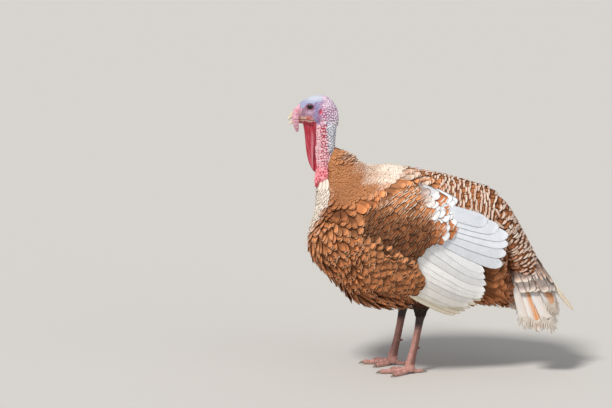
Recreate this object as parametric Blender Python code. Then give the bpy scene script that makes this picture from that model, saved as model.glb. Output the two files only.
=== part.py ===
"""A life-size standing tom turkey, with a rusty and white plumage, as a still model.

The bird faces -X, its left side is -Y and it stands on the floor at Z = 0.
Sizes are in millimetres and become metres where a mesh is made.
"""

import math

import bmesh
import bpy
import numpy as np

MM = 0.001
GAP = 0.3  # between pieces that touch

# Body and feathered neck, from the top of the neck to the rump. Each row is one oval section:
# its upper or back point (x, z), its lower or front point (x, z), and half its width.
BODY = (
    (-284, 664, -333, 560, 21),
    (-270, 652, -334, 532, 30),
    (-250, 639, -334, 502, 43),
    (-228, 629, -338, 466, 62),
    (-208, 616, -350, 425, 86),
    (-190, 607, -357, 385, 110),
    (-175, 604, -346, 345, 126),
    (-160, 604, -319, 306, 138),
    (-145, 606, -268, 255, 147),
    (-128, 607, -225, 212, 153),
    (-105, 605, -165, 192, 157),
    (-70, 598, -95, 189, 158),
    (-30, 584, -35, 198, 155),
    (30, 574, 40, 207, 145),
    (90, 558, 110, 203, 125),
    (140, 544, 175, 198, 104),
    (168, 534, 222, 192, 88),
)
NECK_CUT = 3.4  # the row, and part of a row, where the neck leaves the torso
CUT_STEP = 0.02  # the part of a row that makes the gap there

# Bare neck, from its slanted foot up into the head.
NECK = (
    (-284.3, 664.4, -333.4, 560.3, 20),
    (-283, 676, -338, 600, 21),
    (-281, 692, -341, 642, 22),
    (-278, 712, -344, 684, 23),
    (-275, 734, -347, 716, 23.5),
    (-282, 756, -342, 746, 20),
)

# Head, from the nape to the root of the bill.
HEAD = (
    (-272, 752, -271, 738, 6),
    (-275, 768, -273, 724, 13.5),
    (-283, 786, -281, 714, 19),
    (-296, 801, -295, 711, 23.5),
    (-312, 809, -312, 714, 26),
    (-330, 811, -330, 718, 26.5),
    (-348, 808, -350, 723, 25),
    (-364, 801, -368, 727, 22),
    (-380, 790, -384, 729, 18),
    (-391, 780, -393, 730, 14.5),
    (-399, 771, -399, 731, 12),
)
UPPER_BILL = (
    (-399.4, 768, -399.4, 743.5, 11.5),
    (-406, 763, -406, 742.5, 9.6),
    (-412, 754, -412, 740.5, 6.8),
    (-416.5, 745, -416, 738, 4),
    (-418.5, 738.5, -417.8, 736, 1.2),
)
LOWER_BILL = (
    (-399.4, 740, -399.4, 731.2, 10.4),
    (-405, 737.5, -404, 727.6, 8),
    (-410, 734, -410, 727, 5.4),
    (-414, 731, -414, 728, 2.8),
    (-416, 729.8, -416, 728.8, 1),
)
EYE_AT = (-353, 16.5, 781)
EYE_RADIUS = 9
LID_RADIUS = 8.7  # of the lids' ridge, which lies just off the eyeball
LID_OUT = 7.3  # how far the ridge is from the eye's middle, towards the side
LID_THICKNESS = 1.9
NOSTRIL_AT = (-383, 756)
NOSTRIL_SIZE = (4.2, 2.6, 2.2)
EAR_AT = (-323, 760)
EAR_SIZE = (5, 3, 6)
EAR_RIM = 1.6
MOUTH_Z = 741.6
MOUTH_X = (-400.5, -340)
MOUTH_DEPTH = 1.5

# Fleshy snood, draped over the left side of the bill: x, y, z, radius.
SNOOD = (
    (-381, -2, 777, 7.5),
    (-391, -7, 780, 9),
    (-399, -14, 771, 9.5),
    (-401.5, -18.5, 756, 9),
    (-400, -19.5, 740, 8.2),
    (-396.5, -18.5, 725, 6.2),
    (-393, -17.5, 713, 4),
    (-391.5, -17, 706.5, 1.4),
)
# Dewlap, from the chin down to the caruncles: z, front x, back x, half its thickness, depth of its pleats.
WATTLE = (
    (745, -371, -325, 7.5, 0),
    (731, -374, -325, 7, 1.5),
    (700, -369, -325, 5.6, 4),
    (660, -365.5, -325, 5, 5),
    (630, -361, -325, 5, 5),
    (608, -354.5, -325, 5.2, 4),
    (594, -347.5, -325, 4.6, 2),
    (584, -341, -325, 3, 0),
)
# Caruncles at the foot of the bare neck: x, y, z, radius. The last three are the hanging one.
CARUNCLES = (
    (-339, -6, 580, 9),
    (-339, 7, 579, 9),
    (-333, -16, 576, 9.5),
    (-333, 17, 577, 9),
    (-321, -22, 574, 10),
    (-321, 22, 575, 10),
    (-309, -25, 573, 9.5),
    (-309, 25, 574, 9.5),
    (-345, 0, 570, 8),
    (-341, -7, 566, 6.5),
    (-342.5, -8, 555, 5.6),
    (-342.5, -8, 546, 4.6),
)

# Legs. The right one stands ahead of the left one.
HOCK_X = {"left": -33, "right": -81}
LEG_Y = 56
# x from the hock, z, half its depth, half its width
THIGH = (
    (22, 262, 46, 36),
    (10, 226, 37, 30),
    (3, 200, 26, 22),
    (0, 184, 17.5, 15),
    (0, 171, 14.5, 12.5),
)
SHANK = (
    (0, 170.6, 14, 12),
    (-2, 158, 12, 10),
    (-9, 118, 10.5, 8.6),
    (-17, 78, 10.8, 8.8),
    (-25, 46, 12.4, 10.2),
    (-28.5, 32, 14, 12),
)
ANKLE = (-28.5, 31.6)
ANKLE_SIZE = (14, 12)
# Toes, each from the ankle: bearing in degrees outward from straight ahead, then length,
# height where it leaves the ankle, and its radius at the root and at the tip.
TOES = {
    "middle": (4, 86, 17, 8.6, 6.6),
    "outer": (44, 66, 16, 7.8, 5.8),
    "inner": (-38, 62, 16, 7.8, 5.8),
    "hind": (196, 37, 24, 6.4, 5.2),
}
TOE_SIDES = 6
FLAT_REACH = 0.5  # points this low are set on the floor, so that the soles are flat
CLAW_LENGTH = 15
SPUR = ((2, 0, 74), 13, 6)

# The wing lies on this surface: x, centre z, half height and half width of the flank there.
FLANK = (
    (-260, 430, 190, 112),
    (-230, 415, 200, 128),
    (-180, 400, 208, 146),
    (-120, 398, 210, 158),
    (-60, 393, 205, 160),
    (0, 390, 192, 154),
    (60, 386, 182, 140),
    (120, 378, 176, 121),
    (180, 365, 176, 103),
    (240, 350, 180, 94),
)
FLANK_SOFTNESS = 0.22
FLANK_DROOP = 1.3  # how much longer the flank's lower half is than its upper half
WING_LIFT = 3
# Two fleshy lobes that hold the wing's feathers: centre x, centre z, half length, half height, thickness.
ARM_LOBE = (-82, 440, 152, 108, 20)
HAND_LOBE = (-72, 306, 50, 64, 14)
LOBE_ROOT = 45  # how far a lobe starts inside the body before it is cut to fit

# A feather's vane: shares of its length, its width there against its widest, its thickness there
# against its thickest, then places across it from edge to edge and its thickness at each.
FLIGHT_VANE = ((0, 0.42, 0.78, 0.94, 1), (0.5, 1, 1, 0.76, 0.3), (1, 1, 0.9, 0.7, 0.6), (-1, 0, 1), (1, 1.7, 1))
COVERT_VANE = ((0, 0.5, 0.86, 1), (0.6, 1, 0.84, 0.3), (1, 1, 0.8, 0.6), (-1, 1), (1.3, 1.3))
SHINGLE = 2.5  # how far each feather's free edge lies over the next feather
STEEPEST_TILT = 0.34

# The wing's rows of feathers, from the top of the folded wing down. Each has a count, the places of its
# roots and of its tips seen from the side, half its feathers' width, and its height over the flank at
# the roots and at the tips.
WING_ROWS = {
    "primaries": (3, ((-75, 275), (-85, 250)), ((105, 176), (66, 168), (18, 176)), 19, 4, 4),
    "secondaries": (7, ((-15, 392), (-80, 285)), ((150, 284), (152, 235), (118, 188)), 18, 9, 11),
    "tertials": (4, ((-5, 505), (-5, 425)), ((205, 395), (221, 357), (192, 318)), 29, 9, 18.5),
    "greater_coverts": (7, ((-30, 500), (-75, 450), (-130, 378)), ((70, 470), (15, 405), (-50, 335)), 17, 12, 20),
    "median_coverts": (7, ((-65, 515), (-110, 472), (-158, 405)), ((30, 500), (-30, 435), (-95, 365)), 17, 12, 26),
}
TIP_SCATTER = 3

# The tail hangs as an arched fan. Its feathers lie on a cone with this tip, tilt and half angle.
TAIL_TIP = (205, 495)
TAIL_TILT = 75
TAIL_SPREAD = 14
# Rump under the tail coverts, drawn as BODY is.
TAIL_CORE = (
    (168.5, 533, 200, 332, 84),
    (196, 508, 214, 322, 80),
    (226, 470, 236, 318, 74),
    (250, 430, 256, 316, 68),
    (272, 390, 272, 314, 60),
    (288, 352, 284, 312, 48),
)
RUMP = (*TAIL_CORE, (306, 318, 290, 262, 54), (330, 276, 300, 215, 62))
RECTRICES = 13
TAIL_FAN = 236  # degrees, from the outermost feather on one side to that on the other
RECTRIX_ROOT = 126
RECTRIX_TIPS = ((0, 20, 38, 55, 85, 118), (300, 305, 350, 398, 398, 362))  # turn and length
RECTRIX_WIDTH = 42
RECTRIX_STEP = 2.1
TAIL_LIFT = 8  # how far the tail feathers bend outward to their tips
# Rows of tail coverts: place of root and of tip along RUMP, height, half width, degrees spanned.
COVERT_ROWS = ((3.1, 7.0, 11, 19, 188), (1.7, 5.2, 16.5, 20, 178), (0.25, 3.3, 22, 21, 168))
COVERTS = 7
COVERT_STEP = 1.9
COVERT_ROOT = -7
# A tail feather out of its place: x, y, z, half width, half thickness.
STRAY = (
    (286, 0, 352, 12, 4),
    (330, 0, 270, 15, 1.6),
    (375, 2, 215, 14, 1.0),
    (414.5, 4, 169, 5, 0.7),
)
UNDERTAIL = (
    (203, 331, 222.6, 193, 54),
    (223, 326, 238, 185, 49),
    (244, 310, 250, 183, 38),
    (260, 280, 257, 198, 22),
)

COLOURS = {
    "plumage": (0.56, 0.24, 0.09, 1),
    "white_feather": (0.86, 0.84, 0.79, 1),
    "bare_skin": (0.72, 0.42, 0.44, 1),
    "wattle_red": (0.70, 0.07, 0.08, 1),
    "horn": (0.66, 0.55, 0.36, 1),
    "leg_scale": (0.60, 0.36, 0.31, 1),
    "claw_horn": (0.30, 0.22, 0.16, 1),
    "eye_dark": (0.02, 0.012, 0.01, 1),
}
ROUGHNESS = {"eye_dark": 0.08, "wattle_red": 0.45, "horn": 0.4, "claw_horn": 0.4}


def clear_scene():
    for obj in list(bpy.data.objects):
        bpy.data.objects.remove(obj)


def finish_of(name):
    """The material of that name, made once."""
    found = bpy.data.materials.get(name)
    if found:
        return found
    made = bpy.data.materials.new(name)
    made.use_nodes = True
    shader = made.node_tree.nodes["Principled BSDF"]
    shader.inputs["Base Color"].default_value = COLOURS[name]
    shader.inputs["Roughness"].default_value = ROUGHNESS.get(name, 0.7)
    shader.inputs["Metallic"].default_value = 0.0
    return made


def smooth_rows(rows, places):
    """The rows at fractional places, eased by a cubic that never overshoots its neighbours."""
    rows = np.array(rows, float)
    places = np.clip(np.asarray(places, float), 0, len(rows) - 1)
    steps = np.diff(rows, axis=0)
    slopes = np.zeros_like(rows)
    before, after = steps[:-1], steps[1:]
    same_way = before * after > 0
    total = np.where(same_way, before + after, 1)
    slopes[1:-1] = np.where(same_way, 2 * before * after / total, 0)
    slopes[0], slopes[-1] = steps[0], steps[-1]
    low = np.minimum(places.astype(int), len(rows) - 2)
    t = (places - low)[:, None]
    return (
        rows[low] * (2 * t**3 - 3 * t**2 + 1)
        + slopes[low] * (t**3 - 2 * t**2 + t)
        + rows[low + 1] * (3 * t**2 - 2 * t**3)
        + slopes[low + 1] * (t**3 - t**2)
    )


def oval_rings(rows, sides):
    """One ring of points for each row of back point, front point and half width."""
    turn = np.arange(sides) * 2 * math.pi / sides
    back, front, half_width = rows[:, None, 0:2], rows[:, None, 2:4], rows[:, None, 4]
    middle, reach = (back + front) / 2, (back - front) / 2
    across = middle + reach * np.cos(turn)[None, :, None]
    return np.dstack([across[..., 0], half_width * np.sin(turn)[None, :], across[..., 1]])


def mesh_object(name, points, faces, finish):
    """An object from points in millimetres, with every face turned outward."""
    mesh = bpy.data.meshes.new(name)
    mesh.from_pydata((np.asarray(points) * MM).tolist(), [], faces)
    shell = bmesh.new()
    shell.from_mesh(mesh)
    bmesh.ops.recalc_face_normals(shell, faces=shell.faces)
    if shell.calc_volume(signed=True) < 0:
        bmesh.ops.reverse_faces(shell, faces=shell.faces)
    shell.to_mesh(mesh)
    shell.free()
    mesh.materials.append(finish_of(finish))
    obj = bpy.data.objects.new(name, mesh)
    bpy.context.scene.collection.objects.link(obj)
    return obj


def loft(name, rings, finish):
    """A closed body through rings of the same number of points, with a flat face at each end."""
    count, sides = rings.shape[:2]
    faces = []
    for row in range(count - 1):
        for k in range(sides):
            after = (k + 1) % sides
            corners = (row * sides + k, row * sides + after)
            faces.append((*corners, corners[1] + sides, corners[0] + sides))
    faces.append(tuple(range(sides)))
    faces.append(tuple((count - 1) * sides + k for k in range(sides)))
    return mesh_object(name, rings.reshape(-1, 3), faces, finish)


def oval_body(name, table, count, sides, finish, first=0.0, last=None):
    places = np.linspace(first, len(table) - 1 if last is None else last, count)
    return loft(name, oval_rings(smooth_rows(table, places), sides), finish)


def tube(name, path, radii, sides, finish, side_hint=(0, 1, 0), on_floor=False, level=False):
    """A closed body along a path. radii holds (across, up) for each point of it.

    One on the floor gets a flat under side. A level one keeps its sections level, not square to the path.
    """
    path, radii = np.array(path, float), np.array(radii, float)
    heading = np.gradient(path, axis=0)
    if level:
        heading = np.tile([0.0, 0.0, -1.0], (len(path), 1))
    heading /= np.linalg.norm(heading, axis=1)[:, None]
    hint = np.array(side_hint, float)
    across = hint - (heading @ hint)[:, None] * heading
    across /= np.linalg.norm(across, axis=1)[:, None]
    up = np.cross(heading, across)
    turn = (np.arange(sides) + 0.5) * 2 * math.pi / sides
    rings = (
        path[:, None]
        + across[:, None] * (radii[:, None, :1] * np.cos(turn)[None, :, None])
        + up[:, None] * (radii[:, None, 1:] * np.sin(turn)[None, :, None])
    )
    if on_floor:
        rings[..., 2] = np.where(rings[..., 2] < FLAT_REACH, 0, rings[..., 2])
    return loft(name, rings, finish)


def ball(name, centre, size, finish, around=16, rows=10):
    """A ball or egg with its poles on the Y axis."""
    rise = np.linspace(0, math.pi, rows + 1)[1:-1]
    turn = np.arange(around) * 2 * math.pi / around
    ring = np.dstack(
        [
            np.outer(np.sin(rise), np.cos(turn)),
            np.outer(np.cos(rise), np.ones(around)),
            np.outer(np.sin(rise), np.sin(turn)),
        ]
    ).reshape(-1, 3)
    points = np.vstack([ring, [[0, 1, 0], [0, -1, 0]]]) * np.array(size) + np.array(centre)
    top, bottom = len(points) - 2, len(points) - 1
    faces = []
    for k in range(around):
        after = (k + 1) % around
        faces.append((top, k, after))
        for row in range(rows - 2):
            low, high = row * around, (row + 1) * around
            faces.append((low + k, high + k, high + after, low + after))
        faces.append(((rows - 2) * around + k, bottom, (rows - 2) * around + after))
    return mesh_object(name, points, faces, finish)


def take_shape(obj):
    """Makes what the modifiers show the object's own mesh."""
    bpy.context.view_layer.update()
    graph = bpy.context.evaluated_depsgraph_get()
    made = bpy.data.meshes.new_from_object(obj.evaluated_get(graph))
    obj.modifiers.clear()
    obj.data = made


def keep_largest(obj):
    """Drops loose scraps and the walls of sealed hollows."""
    shell = bmesh.new()
    shell.from_mesh(obj.data)
    left = set(shell.verts)
    islands = []
    while left:
        seed = left.pop()
        island, edge_of = {seed}, [seed]
        while edge_of:
            vert = edge_of.pop()
            for edge in vert.link_edges:
                other = edge.other_vert(vert)
                if other in left:
                    left.discard(other)
                    island.add(other)
                    edge_of.append(other)
        islands.append(island)
    if len(islands) > 1:
        largest = max(islands, key=len)
        loose = [v for island in islands if island is not largest for v in island]
        bmesh.ops.delete(shell, geom=loose, context="VERTS")
    shell.to_mesh(obj.data)
    shell.free()


def combine(obj, others, operation, solver="EXACT"):
    """Joins the other closed bodies to the object or cuts them from it, and removes them."""
    group = bpy.data.collections.new("tools")
    for other in others:
        group.objects.link(other)
    change = obj.modifiers.new(operation, "BOOLEAN")
    change.operation = operation
    change.solver = solver
    change.operand_type = "COLLECTION"
    change.collection = group
    take_shape(obj)
    for other in others:
        bpy.data.objects.remove(other)
    bpy.data.collections.remove(group)
    keep_largest(obj)
    return obj


def swollen(obj):
    """A copy of the body, grown by the gap on every side."""
    copy = obj.copy()
    copy.data = obj.data.copy()
    bpy.context.scene.collection.objects.link(copy)
    for vertex in copy.data.vertices:
        vertex.co += vertex.normal * GAP * MM
    return copy


def fit_to(obj, *neighbours):
    """Cuts the object back from its neighbours, with the gap between them."""
    for neighbour in neighbours:
        combine(obj, [swollen(neighbour)], "DIFFERENCE")
    return obj


def head_side(x, z):
    """How far out the head's side is at a place seen from the side."""
    rows = smooth_rows(HEAD, np.linspace(0, len(HEAD) - 1, 400))
    row = rows[np.argmin(np.abs((rows[:, 0] + rows[:, 2]) / 2 - x))]
    centre, half = (row[1] + row[3]) / 2, (row[1] - row[3]) / 2
    return row[4] * math.sqrt(max(0.0, 1 - ((z - centre) / half) ** 2))


def make_body():
    last = len(BODY) - 1
    neck = oval_body("neck_feathered", BODY, 10, 22, "plumage", 0, NECK_CUT)
    torso = oval_body("torso", BODY, 20, 24, "plumage", NECK_CUT + CUT_STEP, last)
    return torso, neck


def mouth_groove(side):
    xs = np.linspace(*MOUTH_X, 5)
    path = [(x, side * head_side(x, MOUTH_Z), MOUTH_Z) for x in xs]
    radii = [(MOUTH_DEPTH, MOUTH_DEPTH * 0.7)] * len(xs)
    return tube("groove", path, radii, 5, "bare_skin", (0, 0, 1))


def eyelids(side):
    """A raised ring of skin round the eye."""
    turn = np.linspace(0, 2 * math.pi, 13)[:-1]
    section = np.linspace(0, 2 * math.pi, 7)[:-1]
    x, y, z = EYE_AT
    points = [
        (
            x + (LID_RADIUS * 1.1 + LID_THICKNESS * math.cos(v)) * math.cos(u),
            side * (y + LID_OUT + LID_THICKNESS * math.sin(v)),
            z + (LID_RADIUS + LID_THICKNESS * math.cos(v)) * math.sin(u),
        )
        for u in turn
        for v in section
    ]
    faces = []
    for i in range(12):
        for j in range(6):
            a, b = (i + 1) % 12, (j + 1) % 6
            faces.append((i * 6 + j, a * 6 + j, a * 6 + b, i * 6 + b))
    return mesh_object("lids", points, faces, "bare_skin")


def make_head():
    head = oval_body("head", HEAD, 17, 20, "bare_skin")
    eyes, added, pits = [], [], []
    for name, side in (("left", -1), ("right", 1)):
        x, y, z = EYE_AT
        eye = ball(f"eye_{name}", (x, side * y, z), (EYE_RADIUS,) * 3, "eye_dark", 12, 7)
        fit_to(head, eye)
        added.append(eyelids(side))
        eyes.append(eye)
        ear_y = head_side(*EAR_AT)
        place = (EAR_AT[0], side * ear_y, EAR_AT[1])
        rim = [size + EAR_RIM for size in EAR_SIZE]
        added.append(ball("ear", place, (rim[0], 1.6, rim[2]), "bare_skin", 8, 4))
        pits.append(ball("cup", (place[0], side * (ear_y + 1.6), place[2]), EAR_SIZE, "bare_skin", 7, 4))
        nose_y = head_side(*NOSTRIL_AT)
        place = (NOSTRIL_AT[0], side * nose_y, NOSTRIL_AT[1])
        pits.append(ball("nostril", place, NOSTRIL_SIZE, "bare_skin", 6, 4))
        pits.append(mouth_groove(side))
    combine(head, added, "UNION")
    combine(head, pits, "DIFFERENCE")
    upper = oval_body("bill_upper", UPPER_BILL, 6, 12, "horn")
    lower = oval_body("bill_lower", LOWER_BILL, 6, 12, "horn")
    return head, eyes, upper, lower


def neck_bulbs():
    """Small caruncles on the nape and the sides of the bare neck, in a spiral that spreads them evenly."""
    bulbs = []
    chance = np.random.default_rng(7)
    golden = math.radians(137.5)
    count = 21
    for k in range(count):
        place = 0.9 + 3.4 * k / count
        row = smooth_rows(NECK, [place])[0]
        turn = k * golden
        if abs(math.remainder(turn - math.pi, 2 * math.pi)) < math.radians(38):
            continue
        middle, reach = (row[0:2] + row[2:4]) / 2, (row[0:2] - row[2:4]) / 2
        x, z = middle + reach * math.cos(turn)
        y = row[4] * math.sin(turn)
        radius = 3.4 + 1.8 * chance.random()
        bulbs.append(ball("bulb", (x, y, z), (radius, radius, radius * 0.85), "bare_skin", 6, 3))
    return bulbs


def make_neck(head):
    neck = oval_body("neck_bare", NECK, 12, 16, "bare_skin")
    combine(neck, neck_bulbs(), "UNION")
    return fit_to(neck, head)


def wattle_rings(rows, across=7):
    """Thin pleated ovals, each level with the floor."""
    share = np.linspace(0, 1, across)
    rings = []
    for z, front, back, thick, pleat in rows:
        x = front + (back - front) * share
        middle = pleat * np.sin(share * 2.4 * math.pi) * (1 - share)
        half = thick * np.sqrt(np.clip(1 - (2 * share - 1) ** 6, 0.12, 1))
        near = np.column_stack([x, middle - half, np.full(across, z)])
        far = np.column_stack([x, middle + half, np.full(across, z)])
        rings.append(np.vstack([near, far[::-1]]))
    return np.array(rings)


def make_throat(head, neck, neck_feathered, bills):
    snood_rows = smooth_rows(SNOOD, np.linspace(0, len(SNOOD) - 1, 9))
    snood = tube("snood", snood_rows[:, :3], snood_rows[:, [3, 3]], 8, "bare_skin", (1, 0, 0))
    fit_to(snood, head, *bills)
    wattle_rows = smooth_rows(WATTLE, np.linspace(0, len(WATTLE) - 1, 11))
    wattle = loft("wattle", wattle_rings(wattle_rows), "wattle_red")
    bulbs = [ball("bulb", row[:3], (row[3],) * 3, "wattle_red", 7, 4) for row in CARUNCLES]
    caruncles = combine(bulbs[0], bulbs[1:], "UNION")
    caruncles.name = "caruncles"
    fit_to(caruncles, neck, neck_feathered)
    fit_to(wattle, head, neck, neck_feathered, caruncles)


def leg_tube(name, table, hock_x, side, sides, count):
    rows = smooth_rows(table, np.linspace(0, len(table) - 1, count))
    path = np.column_stack([rows[:, 0] + hock_x, np.full(count, side * LEG_Y), rows[:, 1]])
    finish = "plumage" if table is THIGH else "leg_scale"
    return tube(name, path, rows[:, [3, 2]], sides, finish, level=True)


def make_foot(label, side, hock_x):
    """The toes of one foot, joined under the ankle, and a claw on each."""
    centre = np.array([hock_x + ANKLE[0], side * LEG_Y, 0.0])
    top = ANKLE[1]
    rows = [(0, top, *ANKLE_SIZE), (-1, 24, 14.5, 12.5), (-2, 14, 15, 13.5), (-3, 5, 13, 12)]
    path = [(centre[0] + x, centre[1], z) for x, z, _, _ in rows]
    foot = tube(f"foot_{label}", path, [(w, d) for _, _, d, w in rows], 12, "leg_scale", level=True)
    toes, claws = [], []
    for toe, (bearing, length, height, root, tip) in TOES.items():
        angle = math.radians(bearing)
        ahead = np.array([-math.cos(angle), side * math.sin(angle), 0.0])
        share = np.linspace(0, 1, 6)
        knuckle = 1 + 0.07 * np.cos(share * 6 * math.pi)
        radius = (root + (tip - root) * share) * knuckle
        level = radius * math.cos(math.pi / TOE_SIDES)
        drop = np.clip(share / 0.42, 0, 1)
        lift = (height - level[0]) * (1 - drop**2 * (3 - 2 * drop))
        line = centre + np.outer(share * length, ahead)
        line[:, 2] = level + lift
        toes.append(tube("toe", line, np.column_stack([radius, radius]), TOE_SIDES, "leg_scale", (0, 0, 1), True))
        end, reach = line[-1], np.linspace(0, 1, 4)
        start = end + ahead * GAP
        claw_line = start + np.outer(reach * CLAW_LENGTH, ahead)
        size = tip * 0.62 * np.array([1, 0.86, 0.6, 0.16])
        claw_line[:, 2] = end[2] + np.array([0.8, 0.7, -1.0, 2.4 - end[2]])
        name = f"claw_{label}_{toe}"
        claws.append(tube(name, claw_line, np.column_stack([size, size * 0.9]), 6, "claw_horn", (0, 0, 1)))
    combine(foot, toes, "UNION")
    return foot, claws


def make_legs(torso):
    for label, side in (("left", -1), ("right", 1)):
        hock_x = HOCK_X[label]
        thigh = leg_tube(f"thigh_{label}", THIGH, hock_x, side, 14, 8)
        fit_to(thigh, torso)
        shank = leg_tube(f"shank_{label}", SHANK, hock_x, side, 10, 8)
        (x, y, z), length, radius = SPUR
        root = np.array([hock_x + x - 14, side * (LEG_Y - 3), z])
        line = root + np.outer(np.linspace(0, 1, 4), np.array([length + 10, -side * 5.0, 3.0]))
        size = radius * np.array([1, 0.9, 0.65, 0.18])
        spur = tube("spur", line, np.column_stack([size, size]), 8, "claw_horn")
        combine(shank, [spur], "UNION")
        foot, claws = make_foot(label, side, hock_x)
        fit_to(shank, foot)
        for claw in claws:
            fit_to(claw, foot)


def flank(x, z):
    """How far out from the middle the folded wing lies, at a place seen from the side."""
    table = np.array(FLANK, float)
    xs = np.linspace(0, len(FLANK) - 1, 120)
    rows = smooth_rows(table, xs)
    centre, height, width = (np.interp(x, rows[:, 0], rows[:, k]) for k in (1, 2, 3))
    height = np.where(z < centre, height * FLANK_DROOP, height)
    inside = 1 - ((z - centre) / height) ** 2
    return width * np.sqrt((inside + np.sqrt(inside**2 + FLANK_SOFTNESS**2)) / 2)


def on_wing(x, z, height, side):
    """Points at a height over the flank, seen from the side at x and z."""
    return np.stack([x, side * (flank(x, z) + WING_LIFT + height), z], axis=-1)


def lobe(name, centre_x, centre_z, length, height, thick, side):
    """A low dome of flesh on the flank, with its root inside the body."""
    turn = np.arange(14) * 2 * math.pi / 14
    rings = []
    for out, level in ((0.25, 1.0), (0.55, 0.93), (0.8, 0.7), (0.95, 0.34), (1.0, 0.05)):
        x = centre_x + length * out * np.cos(turn)
        z = centre_z + height * out * np.sin(turn)
        rings.append(on_wing(x, z, thick * level, side))
    for out in (1.0, 0.6, 0.25):
        x = centre_x + length * out * np.cos(turn)
        z = centre_z + height * out * np.sin(turn)
        rings.append(on_wing(x, z, -LOBE_ROOT - WING_LIFT, side))
    return loft(name, np.array(rings), "plumage")


def vane(name, chart, length, half_width, heights, tilts, pattern, finish):
    """One feather's vane, a thin leaf with its shaft along the middle.

    The chart turns a distance along the feather, one across it and a height into a point, and a tilt is
    how fast the height grows across the feather. Both of its faces are split into the same triangles.
    """
    along, width, thickness, across_at, thick_at = (np.array(row, float) for row in pattern)
    last = 2 * len(across_at) - 1
    rings = np.zeros((len(along), last + 1, 3))
    for column, (place, thick) in enumerate(zip(across_at, thick_at)):
        across = place * half_width * width
        height = heights + tilts * across
        half = thick * thickness / 2
        rings[:, column] = chart(along * length, across, height + half)
        rings[:, last - column] = chart(along * length, across, height - half)
    columns = len(across_at) - 1
    strips = [(k, k + 1) for k in range(columns)] + [(last - k, last - k - 1) for k in range(columns)]
    strips += [(columns, columns + 1), (last, 0)]
    faces = []
    for row in range(len(along) - 1):
        low, high = row * (last + 1), (row + 1) * (last + 1)
        for a, b in strips:
            faces.append((low + a, low + b, high + b))
            faces.append((low + a, high + b, high + a))
    for end in (0, (len(along) - 1) * (last + 1)):
        for k in range(columns):
            faces.append((end + k, end + k + 1, end + last - k - 1))
            faces.append((end + k, end + last - k - 1, end + last - k))
    return mesh_object(name, rings.reshape(-1, 3), faces, finish)


def wing_row(count, roots, tips, half_width, root_height, tip_height, pattern, side, chance):
    """One row of feathers on the folded wing, each with its lower edge over the next one down."""
    share = np.linspace(0, 1, count)
    root = smooth_rows(roots, share * (len(roots) - 1))
    tip = smooth_rows(tips, share * (len(tips) - 1))
    ahead = tip - root
    tip += ahead / np.linalg.norm(ahead, axis=1)[:, None] * chance.uniform(-1, 1, (count, 1)) * TIP_SCATTER
    along = np.array(pattern[0])
    line = root[:, None] + (tip - root)[:, None] * along[None, :, None]
    feathers = []
    for k in range(count):
        span = tip[k] - root[k]
        length = np.linalg.norm(span)
        ahead = span / length
        down = np.array([ahead[1], -ahead[0]])
        after = min(k, count - 2)
        pitch = np.abs((line[after + 1] - line[after]) @ down)
        tilts = np.minimum(SHINGLE / np.maximum(pitch, 1), STEEPEST_TILT)
        heights = np.interp(along, (0, 0.4, 1), (root_height, tip_height, tip_height))

        def chart(u, v, h, root=root[k], ahead=ahead, down=down):
            place = root + np.outer(u, ahead) + np.outer(v, down)
            return on_wing(place[:, 0], place[:, 1], h, side)

        feathers.append(vane("feather", chart, length, half_width, heights, tilts, pattern, "white_feather"))
    return feathers


def make_wings(torso):
    for label, side in (("left", -1), ("right", 1)):
        wing = lobe(f"wing_{label}", *ARM_LOBE, side)
        chance = np.random.default_rng(11)
        feathers = [lobe("hand", *HAND_LOBE, side)]
        for row, shape in WING_ROWS.items():
            pattern = COVERT_VANE if "coverts" in row else FLIGHT_VANE
            feathers += wing_row(*shape, pattern, side, chance)
        combine(wing, feathers, "UNION")
        fit_to(wing, torso)


def on_tail(along, turn, height):
    """A point on the tail's cone: its distance from the cone's tip, its turn from the back, its height over it."""
    tilt, spread = math.radians(TAIL_TILT), math.radians(TAIL_SPREAD)
    axis = np.array([math.cos(tilt), 0, -math.sin(tilt)])
    back = np.array([math.sin(tilt), 0, math.cos(tilt)])
    lateral = np.array([0.0, 1.0, 0.0])
    turn, along, height = np.broadcast_arrays(*(np.asarray(v, float) for v in (turn, along, height)))
    round_ = np.cos(turn)[..., None] * back + np.sin(turn)[..., None] * lateral
    line = math.cos(spread) * axis + math.sin(spread) * round_
    outward = math.cos(spread) * round_ - math.sin(spread) * axis
    tip = np.array([TAIL_TIP[0], 0, TAIL_TIP[1]])
    return tip + along[..., None] * line + height[..., None] * outward


def tail_feathers():
    """The large tail feathers. Each lies under the next one towards the middle."""
    spread = math.sin(math.radians(TAIL_SPREAD))
    feathers = []
    chance = np.random.default_rng(5)
    for k in range(RECTRICES):
        place = k - (RECTRICES - 1) / 2
        turn = math.radians(place * TAIL_FAN / (RECTRICES - 1))
        rank = abs(place)
        first, last = RECTRIX_ROOT, np.interp(abs(math.degrees(turn)), *RECTRIX_TIPS)
        last += chance.uniform(-1, 1) * TIP_SCATTER

        def chart(u, v, h, first=first, turn=turn):
            return on_tail(first + u, turn + v / ((first + u) * spread), h)

        along = np.array(FLIGHT_VANE[0])
        heights = TAIL_LIFT * along**2 - rank * RECTRIX_STEP
        feathers.append(
            vane("rectrix", chart, last - first, RECTRIX_WIDTH / 2, heights, 0 * along, FLIGHT_VANE, "white_feather")
        )
    return feathers


def on_rump(place, turn, height):
    """A point at a height over the rump and the fan, at a row's place and a turn from the back."""
    rows = smooth_rows(RUMP, place)
    back, front, half = rows[:, 0:2], rows[:, 2:4], rows[:, 4]
    middle, reach = (back + front) / 2, (back - front) / 2
    size = np.linalg.norm(reach, axis=1)
    flat = middle + reach * ((1 + height / size) * np.cos(turn))[:, None]
    return np.column_stack([flat[:, 0], (half + height) * np.sin(turn), flat[:, 1]])


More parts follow.
